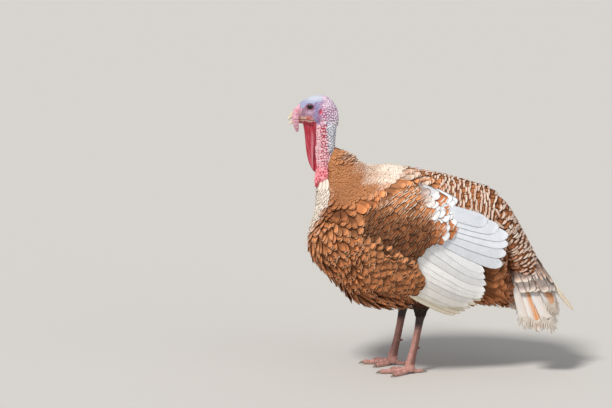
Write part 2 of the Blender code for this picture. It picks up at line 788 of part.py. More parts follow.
def tail_coverts():
    """Three rows of feathers over the roots of the tail, the upper row over the lower ones."""
    feathers = []
    for root, tip, level, half_width, fan in COVERT_ROWS:
        for k in range(COVERTS):
            place = k - (COVERTS - 1) / 2
            turn = math.radians(place * fan / (COVERTS - 1))
            along = np.array(COVERT_VANE[0])
            rows = smooth_rows(RUMP, root + (tip - root) * along)

            def chart(u, v, h, root=root, turn=turn, rows=rows):
                return on_rump(root + u, turn + v / rows[:, 4], h)

            height = level - abs(place) * COVERT_STEP
            heights = np.interp(along, (0, 0.4, 1), (COVERT_ROOT, height, height))
            feathers.append(
                vane("covert", chart, tip - root, half_width, heights, 0 * along, COVERT_VANE, "plumage")
            )
    return feathers


def stray_feather():
    """One tail feather that points back, out of the hanging fan."""
    rows = smooth_rows(STRAY, np.linspace(0, len(STRAY) - 1, 6))
    return tube("stray", rows[:, :3], rows[:, 3:5], 6, "white_feather")


def make_tail():
    tail = oval_body("tail", TAIL_CORE, 6, 16, "plumage")
    combine(tail, [*tail_feathers(), *tail_coverts(), stray_feather()], "UNION", "MANIFOLD")
    undertail = oval_body("undertail", UNDERTAIL, 6, 14, "plumage")
    fit_to(undertail, tail)


def main():
    clear_scene()
    torso, neck_feathered = make_body()
    head, _, upper, lower = make_head()
    neck = make_neck(head)
    make_throat(head, neck, neck_feathered, (upper, lower))
    make_legs(torso)
    make_wings(torso)
    make_tail()


main()
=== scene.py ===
import math

import bpy
import numpy as np
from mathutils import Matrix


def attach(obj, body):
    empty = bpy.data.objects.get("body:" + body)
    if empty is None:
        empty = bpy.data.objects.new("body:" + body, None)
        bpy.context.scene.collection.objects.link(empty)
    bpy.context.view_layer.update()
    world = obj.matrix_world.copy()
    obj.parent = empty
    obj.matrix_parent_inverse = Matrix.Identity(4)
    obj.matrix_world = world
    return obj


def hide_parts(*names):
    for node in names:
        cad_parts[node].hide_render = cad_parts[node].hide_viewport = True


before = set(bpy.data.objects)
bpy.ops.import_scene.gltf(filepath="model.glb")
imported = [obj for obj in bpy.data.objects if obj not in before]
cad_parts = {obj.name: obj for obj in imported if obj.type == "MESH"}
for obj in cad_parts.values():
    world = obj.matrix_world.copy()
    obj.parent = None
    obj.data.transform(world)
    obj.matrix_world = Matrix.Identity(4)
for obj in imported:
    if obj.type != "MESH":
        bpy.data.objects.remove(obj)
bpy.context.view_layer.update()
mm, pi = 0.001, math.pi
dice = np.random.default_rng(41)
print("frame loaded")


class Value:
    # wraps a shader socket: a + b, a * b and the like each add one Math node
    def __init__(self, finish, link):
        self.finish, self.link = finish, link

    def maths(self, operation, *values):
        return self.finish.node("ShaderNodeMath", {"operation": operation}, values)

    def __add__(self, other):
        return self.maths("ADD", self, other)

    def __sub__(self, other):
        return self.maths("SUBTRACT", self, other)

    def __rsub__(self, other):
        return self.maths("SUBTRACT", other, self)

    def __mul__(self, other):
        return self.maths("MULTIPLY", self, other)

    def __truediv__(self, other):
        return self.maths("DIVIDE", self, other)

    __radd__, __rmul__ = __add__, __mul__

    def wave(self):
        return self.maths("SINE", self)

    def size(self):
        return self.maths("ABSOLUTE", self)

    def step(self, low, high):  # 0 below low, 1 above high, smooth between
        return self.finish.node("ShaderNodeMapRange", {"interpolation_type": "SMOOTHSTEP"},
                                (self, low, high, 0, 1))


class Finish:
    # one material and the nodes that make it
    def __init__(self, name):
        self.material = bpy.data.materials.new(name)
        self.material.use_nodes = True
        self.tree = self.material.node_tree
        self.shader = next(n for n in self.tree.nodes if n.type == "BSDF_PRINCIPLED")

    def put(self, socket, value):
        if isinstance(value, Value):
            self.tree.links.new(value.link, socket)
        else:
            socket.default_value = (*value, 1) if socket.type == "RGBA" else value

    def node(self, kind, settings=None, values=(), out=0):
        # its settings first, then the value or link of each socket, by place or by name
        made = self.tree.nodes.new(kind)
        for key, setting in (settings or {}).items():
            setattr(made, key, setting)
        for key, value in values.items() if isinstance(values, dict) else enumerate(values):
            self.put(made.inputs[key], value)
        return Value(self, made.outputs[out])

    def place(self):
        return self.node("ShaderNodeTexCoord", out="Object")

    def marks(self, *names, out="Fac"):
        return [self.node("ShaderNodeAttribute", {"attribute_name": name}, out=out) for name in names]

    def noise(self, vector, scale, detail=3, roughness=0.55):
        return self.node("ShaderNodeTexNoise", None, {
            "Vector": vector, "Scale": scale, "Detail": detail, "Roughness": roughness})

    def cells(self, vector, scale):
        return self.node("ShaderNodeTexVoronoi", None, {"Vector": vector, "Scale": scale}, "Distance")

    def stretch(self, vector, scale):
        return self.node("ShaderNodeVectorMath", {"operation": "MULTIPLY"}, (vector, scale))

    def join(self, *values):
        return self.node("ShaderNodeCombineXYZ", None, values)

    def split(self, vector, out):
        return self.node("ShaderNodeSeparateXYZ", None, (vector,), out)

    def mix(self, factor, first, second):
        return self.node("ShaderNodeMix", {"data_type": "RGBA"}, {0: factor, 6: first, 7: second}, 2)

    def tint(self, colour, amount):  # colour times a number
        return self.node("ShaderNodeVectorMath", {"operation": "SCALE"}, {0: colour, "Scale": amount})

    def bump(self, height, distance, strength):
        return self.node("ShaderNodeBump", None, {"Strength": strength, "Distance": distance,
                                                  "Height": height})

    def cover(self, **sockets):
        for key, value in sockets.items():
            self.put(self.shader.inputs[key.replace("_", " ")], value)
        return self.material


def unit(v):
    return v / np.maximum(np.linalg.norm(v, axis=-1, keepdims=True), 1e-12)


def ease(x, low, high):
    # 0 below low, 1 above high, 3t^2 - 2t^3 between
    t = np.clip((np.asarray(x, float) - low) / (high - low), 0, 1)
    return t * t * (3 - 2 * t)


def bell(x, middle, width):
    # exp(-((x - middle) / width)^2)
    return np.exp(-((x - middle) / width) ** 2)


def ripple(points, size, seed):
    # smooth noise of about -1 to 1: sines along seven fixed directions, added
    draw = np.random.default_rng(seed)
    way = unit(draw.normal(size=(7, 3))) * draw.uniform(0.6, 1.6, (7, 1)) * 2 * pi / size
    return np.sin(points @ way.T + draw.uniform(0, 2 * pi, 7)).sum(-1) / 2.6


def smoothRows(rows, at):
    # monotone cubic through the rows: each slope is the harmonic mean of the two differences beside it
    table = np.array(rows, float)
    gap = np.diff(table, axis=0)
    both = gap[:-1] * gap[1:]
    mean = np.where(both > 0, 2 * both / np.where(both > 0, gap[:-1] + gap[1:], 1.0), 0)
    slope = np.concatenate([gap[:1], mean, gap[-1:]])
    at = np.clip(np.asarray(at, float), 0, len(table) - 1)
    i = np.minimum(at.astype(int), len(table) - 2)
    t = (at - i)[..., None]
    return (table[i] * (1 + 2 * t) * (1 - t) ** 2 + table[i + 1] * t * t * (3 - 2 * t)
            + slope[i] * t * (1 - t) ** 2 - slope[i + 1] * t * t * (1 - t))


def layer(colour, *coats):
    # each coat is a colour and its share: colour + (coat - colour) share
    for coat, share in coats:
        colour = np.asarray(colour) + (np.asarray(coat) - np.asarray(colour)) * np.asarray(share)[..., None]
    return colour


def buildMesh(name, points, faces):
    # points (n, 3) in mm; faces is a list of index arrays, each (k, corners)
    mesh = bpy.data.meshes.new(name)
    corners = np.concatenate([f.ravel() for f in faces]).astype(np.int32)
    sizes = np.concatenate([np.full(len(f), f.shape[1]) for f in faces])
    mesh.vertices.add(len(points))
    mesh.vertices.foreach_set("co", (np.asarray(points) * mm).astype(np.float32).ravel())
    mesh.loops.add(len(corners))
    mesh.loops.foreach_set("vertex_index", corners)
    mesh.polygons.add(len(sizes))
    mesh.polygons.foreach_set("loop_start", (np.cumsum(sizes) - sizes).astype(np.int32))
    mesh.polygons.foreach_set("use_smooth", np.ones(len(sizes), bool))
    mesh.update(calc_edges=True)
    mesh.validate()
    obj = bpy.data.objects.new(name, mesh)
    bpy.context.scene.collection.objects.link(obj)
    return obj


def markPoints(obj, **marks):
    # attributes of the points, numbers or colours: one for all, one for each point, or one for each equal run
    count = len(obj.data.vertices)
    for name, values in marks.items():
        values = np.asarray(values, np.float32)
        if values.shape[-1:] == (3,):
            full = np.ones((count, 4), np.float32)
            full[:, :3] = np.repeat(np.atleast_2d(values), count // len(np.atleast_2d(values)), 0)
            obj.data.attributes.new(name, "FLOAT_COLOR", "POINT").data.foreach_set("color", full.ravel())
        else:
            full = np.repeat(values.ravel(), count // values.size)
            obj.data.attributes.new(name, "FLOAT", "POINT").data.foreach_set("value", full)


def placePiece(obj, material, slotName, *nodes):
    obj.data.materials.clear()
    obj.data.materials.append(material)
    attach(obj, "root")
    if nodes:
        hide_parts(*nodes)


def closeTube(rings):
    # rings (n, around, 3) as one closed surface with a pole at each end, which faces outward
    n, around = rings.shape[:2]
    points = np.concatenate([rings.reshape(-1, 3), rings[0].mean(0)[None], rings[-1].mean(0)[None]])
    i, j, last = np.arange(n - 1)[:, None] * around, np.arange(around), (n - 1) * around
    k = (j + 1) % around
    quads = np.stack([i + j, i + k, i + around + k, i + around + j], -1).reshape(-1, 4)
    ends = np.concatenate([np.stack([0 * j + n * around, k, j], -1),
                           np.stack([0 * j + n * around + 1, last + j, last + k], -1)])
    p = points[quads]
    volume = (np.cross(p[:, 1] - p[:, 0], p[:, 2] - p[:, 0]) * (p[:, 0] - points.mean(0))).sum()
    return points, [quads, ends] if volume >= 0 else [quads[:, ::-1], ends[:, ::-1]]


def tubeSurface(path, radii, around):
    # circles of the given radii carried along a path of (x, y, z)
    along = unit(np.gradient(path, axis=0))
    side = unit(np.cross(along, (0.0, 1.0, 0.0)) + 1e-6)
    over = np.cross(side, along)
    turn = np.linspace(0, 2 * pi, around, endpoint=False)[None, :, None]
    return closeTube(path[:, None] + radii[:, None, None] * (np.cos(turn) * side[:, None]
                                                             + np.sin(turn) * over[:, None]))


def ballSurface(middle, radius, around, stretch=(1, 1, 1)):
    # rings of a sphere: radius sin(fall), radius cos(fall)
    fall = np.linspace(0.12, pi - 0.12, around // 2)[:, None]
    turn = np.linspace(0, 2 * pi, around, endpoint=False)[None]
    rings = np.stack([np.sin(fall) * np.cos(turn), np.sin(fall) * np.sin(turn), np.cos(fall) + 0 * turn], -1)
    return closeTube(np.asarray(middle, float) + radius * rings * np.asarray(stretch, float))


def ringChart(rows):
    # ovals through (back x, z | front x, z | half width): middle + reach cos(turn), half width sin(turn);
    # turn 0 is the back, pi the belly, and below 0 is the left side
    def chart(row, turn):
        r = smoothRows(rows, row)
        cos = np.cos(turn)
        return np.stack([(r[..., 0] + r[..., 2]) / 2 + (r[..., 0] - r[..., 2]) / 2 * cos,
                         r[..., 4] * np.sin(turn),
                         (r[..., 1] + r[..., 3]) / 2 + (r[..., 1] - r[..., 3]) / 2 * cos], -1)
    return chart


def directions(chart, a, b, facing=1):
    # point, outward normal and the two chart steps, by small differences
    e = 1e-3
    pa = (chart(a + e, b) - chart(a - e, b)) / (2 * e)
    pb = (chart(a, b + e) - chart(a, b - e)) / (2 * e)
    return chart(a, b), facing * unit(np.cross(pa, pb)), pa, pb


def closeChart(chart, span, count, around, sink=0.0):
    # a chart's rings over a span of rows as one closed surface, drawn in by sink along the normal
    row, turn = np.meshgrid(np.linspace(*span, count), np.linspace(0, 2 * pi, around, endpoint=False),
                            indexing="ij")
    p, normal = directions(chart, row, turn)[:2]
    return closeTube(p - sink * normal)


def loftSurface(rows, count, around):
    return closeChart(ringChart(rows), (0, len(rows) - 1), count, around)


def fuse(parts, grain):
    # closed surfaces into one skin: a voxel remesh with cells of that grain in mm, back as (points, quads)
    starts = np.cumsum([0] + [len(points) for points, _ in parts])
    faces = [f + start for (_, some), start in zip(parts, starts) for f in some]
    obj = buildMesh("fusing", np.concatenate([points for points, _ in parts]), faces)
    remesh = obj.modifiers.new("grain", "REMESH")
    remesh.mode = "VOXEL"
    remesh.voxel_size = grain * mm
    mesh = bpy.data.meshes.new_from_object(obj.evaluated_get(bpy.context.evaluated_depsgraph_get()))
    points = np.zeros(len(mesh.vertices) * 3, np.float32)
    mesh.vertices.foreach_get("co", points)
    quads = np.zeros(len(mesh.loops), np.int32)
    mesh.loops.foreach_get("vertex_index", quads)
    bpy.data.objects.remove(obj)
    bpy.data.meshes.remove(mesh)
    return points.reshape(-1, 3).astype(float) / mm, quads.reshape(-1, 4)


def sumBy(index, values, count):
    # the sum of the rows that share an index
    return np.stack([np.bincount(index, values[:, i], count) for i in range(3)], -1)


def relax(points, quads, rounds):
    # each point moves halfway to the mean of its neighbours
    a, b = quads.T.ravel(), np.roll(quads, -1, 1).T.ravel()
    ends, others = np.concatenate([a, b]), np.concatenate([b, a])
    count = np.maximum(np.bincount(ends, minlength=len(points))[:, None], 1)
    for _ in range(rounds):
        points = points + 0.5 * (sumBy(ends, points[others], len(points)) / count - points)
    return points


def faceOut(points, quads):
    # the outward direction at each point, from its faces
    p = points[quads]
    across = np.cross(p[:, 2] - p[:, 0], p[:, 3] - p[:, 1])
    return unit(sum(sumBy(quads[:, corner], across, len(points)) for corner in range(4)))


def rowRoots(chart, aSpan, bSpan, pitch, grid=(300, 300)):
    # rows of roots: row k lies where the pitches counted along a reach k + 0.5, its roots one pitch apart
    a, b = np.linspace(*aSpan, grid[0]), np.linspace(*bSpan, grid[1])
    p = chart(*np.meshgrid(a, b, indexing="ij"))
    hop = np.linalg.norm(np.diff(p, axis=0), axis=-1) / pitch((p[1:] + p[:-1]) / 2)[0]
    count = np.concatenate([np.zeros((1, grid[1])), np.cumsum(hop, axis=0)])
    column, found = np.arange(grid[1]), []
    for k in range(int(count.max())):
        level = k + 0.5
        i = np.clip((count < level).sum(0) - 1, 0, grid[0] - 2)
        low, high = count[i, column], count[i + 1, column]
        line = a[i] + np.clip((level - low) / np.maximum(high - low, 1e-9), 0, 1) * (a[1] - a[0])
        q = chart(line, b)
        hop = np.linalg.norm(np.diff(q, axis=0), axis=-1) / pitch((q[1:] + q[:-1]) / 2)[1]
        reached = count[-1] > level
        tally = np.append(0, np.cumsum(hop * (reached[1:] & reached[:-1])))
        marks = np.arange(0.25 + 0.5 * (k % 2), tally[-1], 1.0)
        if len(marks):
            place = np.interp(marks, tally + 1e-9 * column, column)
            found.append(np.stack([np.interp(place, column, line), np.interp(place, column, b)], -1))
    return np.concatenate(found)


vaneShapes = {  # places along the vane, its width there, and 1 where the end is blunt
    "scale": ((0, 0.25, 0.48, 0.68, 0.83, 0.93, 0.982), (0.45, 0.8, 1, 1, 0.86, 0.64, 0.34), 0),
    "blunt": ((0, 0.3, 0.55, 0.75, 0.88, 0.95, 0.988), (0.55, 0.88, 1, 1.02, 0.97, 0.8, 0.5), 1),
    "slim": ((0, 0.25, 0.5, 0.72, 0.87, 0.96), (0.4, 0.85, 1, 0.9, 0.66, 0.36), 0),
    "fluff": ((0, 0.3, 0.6, 0.85), (0.5, 0.95, 1, 0.62), 0),
    "vane": ((0, 0.12, 0.25, 0.38, 0.5, 0.62, 0.73, 0.82, 0.89, 0.945, 0.98),
             (0.55, 0.85, 1, 1, 1, 1, 0.96, 0.87, 0.70, 0.48, 0.24), 0),
    "quill": ((0, 0.12, 0.25, 0.38, 0.5, 0.62, 0.73, 0.82, 0.89, 0.945, 0.985),
              (0.35, 0.7, 0.9, 0.97, 1, 1, 0.98, 0.93, 0.82, 0.62, 0.32), 0)}


def growVanes(name, chart, roots, tips, half, low, high, shape, facing=1, camber=0.12, curl=0.0, thick=0.9,
              across=5, roll=0.0, bend=0.0, square=0.0, lean=0.0, unwrap=None):
    # each vane: chart line from root to tip, lifted low + (high - low) v + curl v^3 along the normal, and
    # spread half * width(v) * u to the sides, where it falls by camber * half * u^2; a keel closes it from
    # below, and the side that the roll sinks is narrower by the share lean
    n = len(roots)
    half, low, high, curl, roll, bend, square, camber = (
        np.broadcast_to(np.asarray(x, float), (n,))[:, None]
        for x in (half, low, high, curl, roll, bend, square, camber))
    along, width, blunt = vaneShapes[shape]
    v, w = np.array(along + (1.0,)), np.array(width)
    line = roots[:, None] + (tips - roots)[:, None] * v[:, None]
    centre, normal = directions(chart, line[..., 0], line[..., 1], facing)[:2]
    side = unit(np.cross(normal, unit(np.gradient(centre, axis=1))))
    length = np.linalg.norm(np.diff(centre, axis=1), axis=-1).sum(1)[:, None]
    u = np.linspace(-1, 1, across)
    u = np.sign(u) * (1 - (1 - np.abs(u)) ** (1.7 if across < 7 else 2.3))
    lift = low + (high - low) * v + curl * v ** 3
    spread = (half * w)[..., None] * u
    spread = spread * (1 - lean * (spread * roll[..., None] < 0))
    fall = (camber * half * w)[..., None] * u ** 2 - roll[..., None] * spread
    sway = (bend * v[:-1] ** 2)[..., None]
    middle, up, out = centre[:, :-1], normal[:, :-1], side[:, :-1]
    top = (middle[:, :, None] + up[:, :, None] * (lift[:, :-1, None] - fall)[..., None]
           + out[:, :, None] * (spread + sway)[..., None])
    keel = middle + up * (lift[:, :-1] - thick - 0.35 * camber * half)[..., None] + out * sway
    tip = centre[:, -1] + normal[:, -1] * (lift[:, -1:] - 0.3) + side[:, -1] * bend
    stations, loop = len(w), across + 1
    each = stations * loop + 1
    ring = np.concatenate([top, keel[:, :, None]], 2).reshape(n, -1, 3)
    i, j = np.arange(stations - 1)[:, None] * loop, np.arange(loop)
    k = (j + 1) % loop
    quads = np.stack([i + j, i + loop + j, i + loop + k, i + k], -1).reshape(-1, 4)
    last = (stations - 1) * loop
    ends = np.stack([last + j, 0 * j + each - 1, last + k], -1)
    start = (np.arange(n) * each)[:, None, None]
    obj = buildMesh(name, np.concatenate([ring, tip[:, None]], 1).reshape(-1, 3),
                    [(start + f).reshape(-1, f.shape[1]) for f in (quads, ends, j[None])])
    uRing = np.append(u, 0.0)
    uAll = np.append(np.tile(uRing, stations), 0.0)
    vAll = np.append(np.repeat(v[:-1], loop), 1.0)
    toTip = (1 - vAll) * length
    rim = np.minimum(half * np.append((1 - np.abs(uRing)) * w[:, None], 0.0), toTip)
    flat = np.maximum(toTip - 0.5 * half * (1 - uAll ** 2) * (1 - blunt), 0)
    patch = spreadOut(roots) if unwrap is None else unwrap
    bake = patch[:, None] + 0.0026 * np.stack([uAll / 2, vAll - 0.5], -1)
    corner = np.zeros(len(obj.data.loops), np.int32)
    obj.data.loops.foreach_get("vertex_index", corner)
    places = bake.reshape(-1, 2).astype(np.float32)[corner]
    obj.data.uv_layers.new(name="OFBake").data.foreach_set("uv", places.ravel())
    lower = np.where(centre[:, :1, 1] > 0, 1.0, -1.0)
    markPoints(obj, rim=rim + (flat - rim) * square, tone=dice.random(n), sideways=uAll * lower,
               reach=np.tile(vAll, n), across=uAll * half, along=vAll * length)
    return obj


def spreadOut(roots):
    # a root's place on the unwrap: its two chart coordinates, each brought to 0.01 ... 0.99
    low, high = roots.min(0), roots.max(0)
    return 0.01 + 0.98 * (roots - low) / np.maximum(high - low, 1e-9)


def layAlong(chart, roots, length, slant):
    # tips in chart coordinates: length cos(slant) along a, length sin(slant) along b, over each step's size
    _, _, pa, pb = directions(chart, *roots.T)
    return roots + np.stack([length * np.cos(slant) / np.linalg.norm(pa, axis=-1),
                             length * np.sin(slant) / np.linalg.norm(pb, axis=-1)], -1)


rust, darkRust, orangeTan, peach, cream, nearBlack, white = np.array([
    (0.46, 0.165, 0.062), (0.22, 0.065, 0.024), (0.56, 0.235, 0.10), (0.70, 0.42, 0.24), (0.86, 0.76, 0.65),
    (0.022, 0.014, 0.011), (0.86, 0.86, 0.87)])


def paintVanes(obj, ground, fringe, fringeWide, bandWide, bandAt=3.0, band=nearBlack, calm=0.0):
    markPoints(obj, ground=ground, fringe=fringe, fringeWide=fringeWide, bandWide=bandWide, bandAt=bandAt,
               band=band, calm=calm)


def plumageFinish():
    # ground, a dark band bandAt mm inside the edge, and a pale fringe at the edge, frayed along the barbs;
    # painted shade where the feather above covers each one, and painted shadow along each feather's lower
    # edge
    f = Finish("soft_plumage")
    rim, tone, reach, across, along, calm, sideways = f.marks(
        "rim", "tone", "reach", "across", "along", "calm", "sideways")
    bandAt, bandWide, fringeWide = f.marks("bandAt", "bandWide", "fringeWide")
    ground, band, fringe = f.marks("ground", "band", "fringe", out="Color")
    place = f.place()
    fine, broad = f.noise(place, 900, 2), f.noise(place, 45, 3)
    barb = along - across.size() * 0.9  # the same along one barb, which slants off the shaft towards the tip
    barbs = (barb * 5.5 + tone * 40).wave()
    strands = f.noise(f.join(barb, tone * 90, across * 0.06), 1.1, 4, 0.7)
    frayed = rim + (fine - 0.5) * 1.4 + (strands - 0.5) * 2.2
    stir = 1 - calm * 0.75
    # painted shade: each feather darkens back from its tip, where the feather above covers it
    paintedShade = (along / (reach + 0.02) - along).step(5, 17) * (0.5 - 0.5 * calm)
    body = f.tint(ground, 1.08 + stir * (0.5 * tone - 0.25) + 0.5 * (broad - 0.45) * stir + barbs * 0.04
                  + (strands - 0.5) * (0.25 + 0.75 * stir) - paintedShade)
    shaft = 1 - across.size().step(0.25, 1.0)
    body = f.mix(shaft * 0.3 * stir, body, f.tint(body, 1.6))
    # the dark band and pale fringe are the feathers' own marks; the band is heavier and the fringe fainter on
    # each feather's lower side, as painted shadow along the lower edges
    lower = (sideways + (tone - 0.5) * 1.2).step(-0.5, 0.4)
    barred = bandAt.step(4, 6)
    dark = (1 - (frayed - bandAt).size().step(bandWide * 0.3, bandWide * 0.7)) * reach.step(0.45, 0.75)
    dark = dark * (0.3 + 0.7 * lower + (0.7 - 0.7 * lower) * barred)
    pale = (1 - frayed.step(fringeWide * 0.6, fringeWide * 1.2)) * reach.step(0.35, 0.65)
    pale = pale * (1 - 0.55 * lower * (1 - barred) * (1 - calm))
    colour = f.mix(pale, f.mix(dark, body, band), f.tint(fringe, 0.85 + 0.25 * fine))
    slit = ((barb * 0.31 + tone * 30).wave() + (barb * 0.47 + tone * 50).wave()).step(1.94, 1.99)
    slit = slit * across.size().step(5, 12) * calm.step(0.7, 0.75) * 0.22
    height = barbs * 0.4 + strands * 2.5 + shaft * 1.5 + fine * 0.5
    return f.cover(Base_Color=f.mix(slit, colour, f.tint(colour, 0.5)), Roughness=0.66 + 0.2 * fine,
                   Normal=f.bump(height, 0.0004, 0.6), Specular_IOR_Level=0.16)


plumage = plumageFinish()
# a dark brown sheet under the feathers: partly the dark feather bases, partly painted shade in the gaps
# between feathers
under = Finish("feather_bases_and_shade")
under.cover(Base_Color=under.mix(under.noise(under.place(), 40), (0.16, 0.06, 0.025), (0.30, 0.13, 0.06)),
            Roughness=0.85)


body = {
    "rows": [(-284, 664, -333, 560, 21), (-270, 652, -334, 532, 30), (-250, 639, -334, 502, 43),
             (-228, 629, -338, 466, 62), (-208, 616, -350, 425, 86), (-190, 607, -357, 385, 110),
             (-175, 604, -346, 345, 126), (-160, 604, -319, 306, 138), (-145, 606, -268, 255, 147),
             (-128, 607, -225, 212, 153), (-105, 605, -165, 192, 157), (-70, 598, -95, 189, 158),
             (-30, 584, -35, 198, 155), (30, 574, 40, 207, 145), (90, 558, 110, 203, 125),
             (140, 544, 175, 198, 104), (168, 534, 222, 192, 88), (196, 508, 214, 322, 84),
             (226, 470, 222, 312, 80), (249, 431, 228, 302, 75), (269, 394, 233, 293, 69),
             (287, 358, 238, 284, 63), (303, 322, 243, 273, 58), (318, 288, 248, 260, 54)],
    "span": (0.02, 21.3), "lastTip": 22.95, "skin": (1.3, 21.7), "skinDepth": 5.0,
    "capeEdge": ((-300, 500), (-273, 515), (-220, 533), (-168, 556), (-113, 586), (-82, 604), (-40, 640)),
    "backEdge": ((-100, 60, 190, 235), (470, 410, 318, 200))}
bodyChart = ringChart(body["rows"])


def trunkZones(p):
    # shares of the cape, the front of the throat, and the barred back and rump
    x, z = p[..., 0], p[..., 2]
    above = z - np.interp(x, *np.array(body["capeEdge"], float).T)  # mm over the cape's lower edge
    above = np.minimum(above, x + 304.0 - 0.5 * np.maximum(580 - z, 0))
    cape = ease(above, -6, 8) * (1 - ease(x + 0.4 * (z - 590), -92, -66))
    throat = ease(z - 1.97 * (x + 330) + 9 * ripple(p, 40, 15), 448, 476) * (1 - ease(x, -300, -284))
    throat = throat * (1 - ease(z, 574, 588)) * (1 - cape)
    overBack = z - np.interp(x, *body["backEdge"])
    back = ease(x + 0.9 * (z - 520), -25, 35) * ease(overBack, -30, 20) * (1 - cape)
    return cape, throat, back


def bodyPitch(p):
    # (row pitch, feather spacing) in mm: fine on the cape and front of the throat, coarse on breast and flank
    cape, throat, back = trunkZones(p)
    small = np.maximum(cape, 0.85 * throat)
    return (16.0 - 8.0 * small - 1.8 * cape + 1.0 * back * (1 - small),
            18.5 - 10.5 * small - 1.5 * cape + 0.5 * back)


def bodyRoots():
    # roots in rows, left out under the wings, over the legs, on the bare neck and where rows bunch up
    roots = rowRoots(bodyChart, body["span"], (-pi, pi), bodyPitch)
    calm = 1 - 0.9 * trunkZones(bodyChart(*roots.T))[2]
    roots = roots + dice.normal(0, 1, roots.shape) * (0.016, 0.018) * calm[:, None]
    row, turn = roots[:, 0], np.abs(roots[:, 1])
    p = bodyChart(*roots.T)
    x, side, z = p[:, 0], np.abs(p[:, 1]), p[:, 2]
    onWing = ((x > -75) & (x < 140) & (side > 70) & (z < 489 + 14 * ease(x, 0, 30) - 0.47 * x)
              & (z > np.where(x > -35, 290 - 0.5 * x, 345 - 0.45 * x)))
    onLeg = (np.hypot(x + 55, side - 56) < 30) & (z < 230)
    keep = ~(onWing | onLeg | ((x < -299) & (z > 576)) | ((row > 16.2) & (turn > 2.3)))
    # below the cape and beside the rump, a root too near an earlier one goes
    pitch = bodyPitch(p)[0]
    crowded = (pitch > 11) & ((calm > 0.5) | ((row > 14) & (turn > 1.2)))
    for i in np.flatnonzero(keep & crowded):
        if keep[i]:
            keep[i + 1:] &= (np.linalg.norm(p[i + 1:] - p[i], axis=-1) > 0.66 * pitch[i]) | ~crowded[i + 1:]
    return roots[keep]


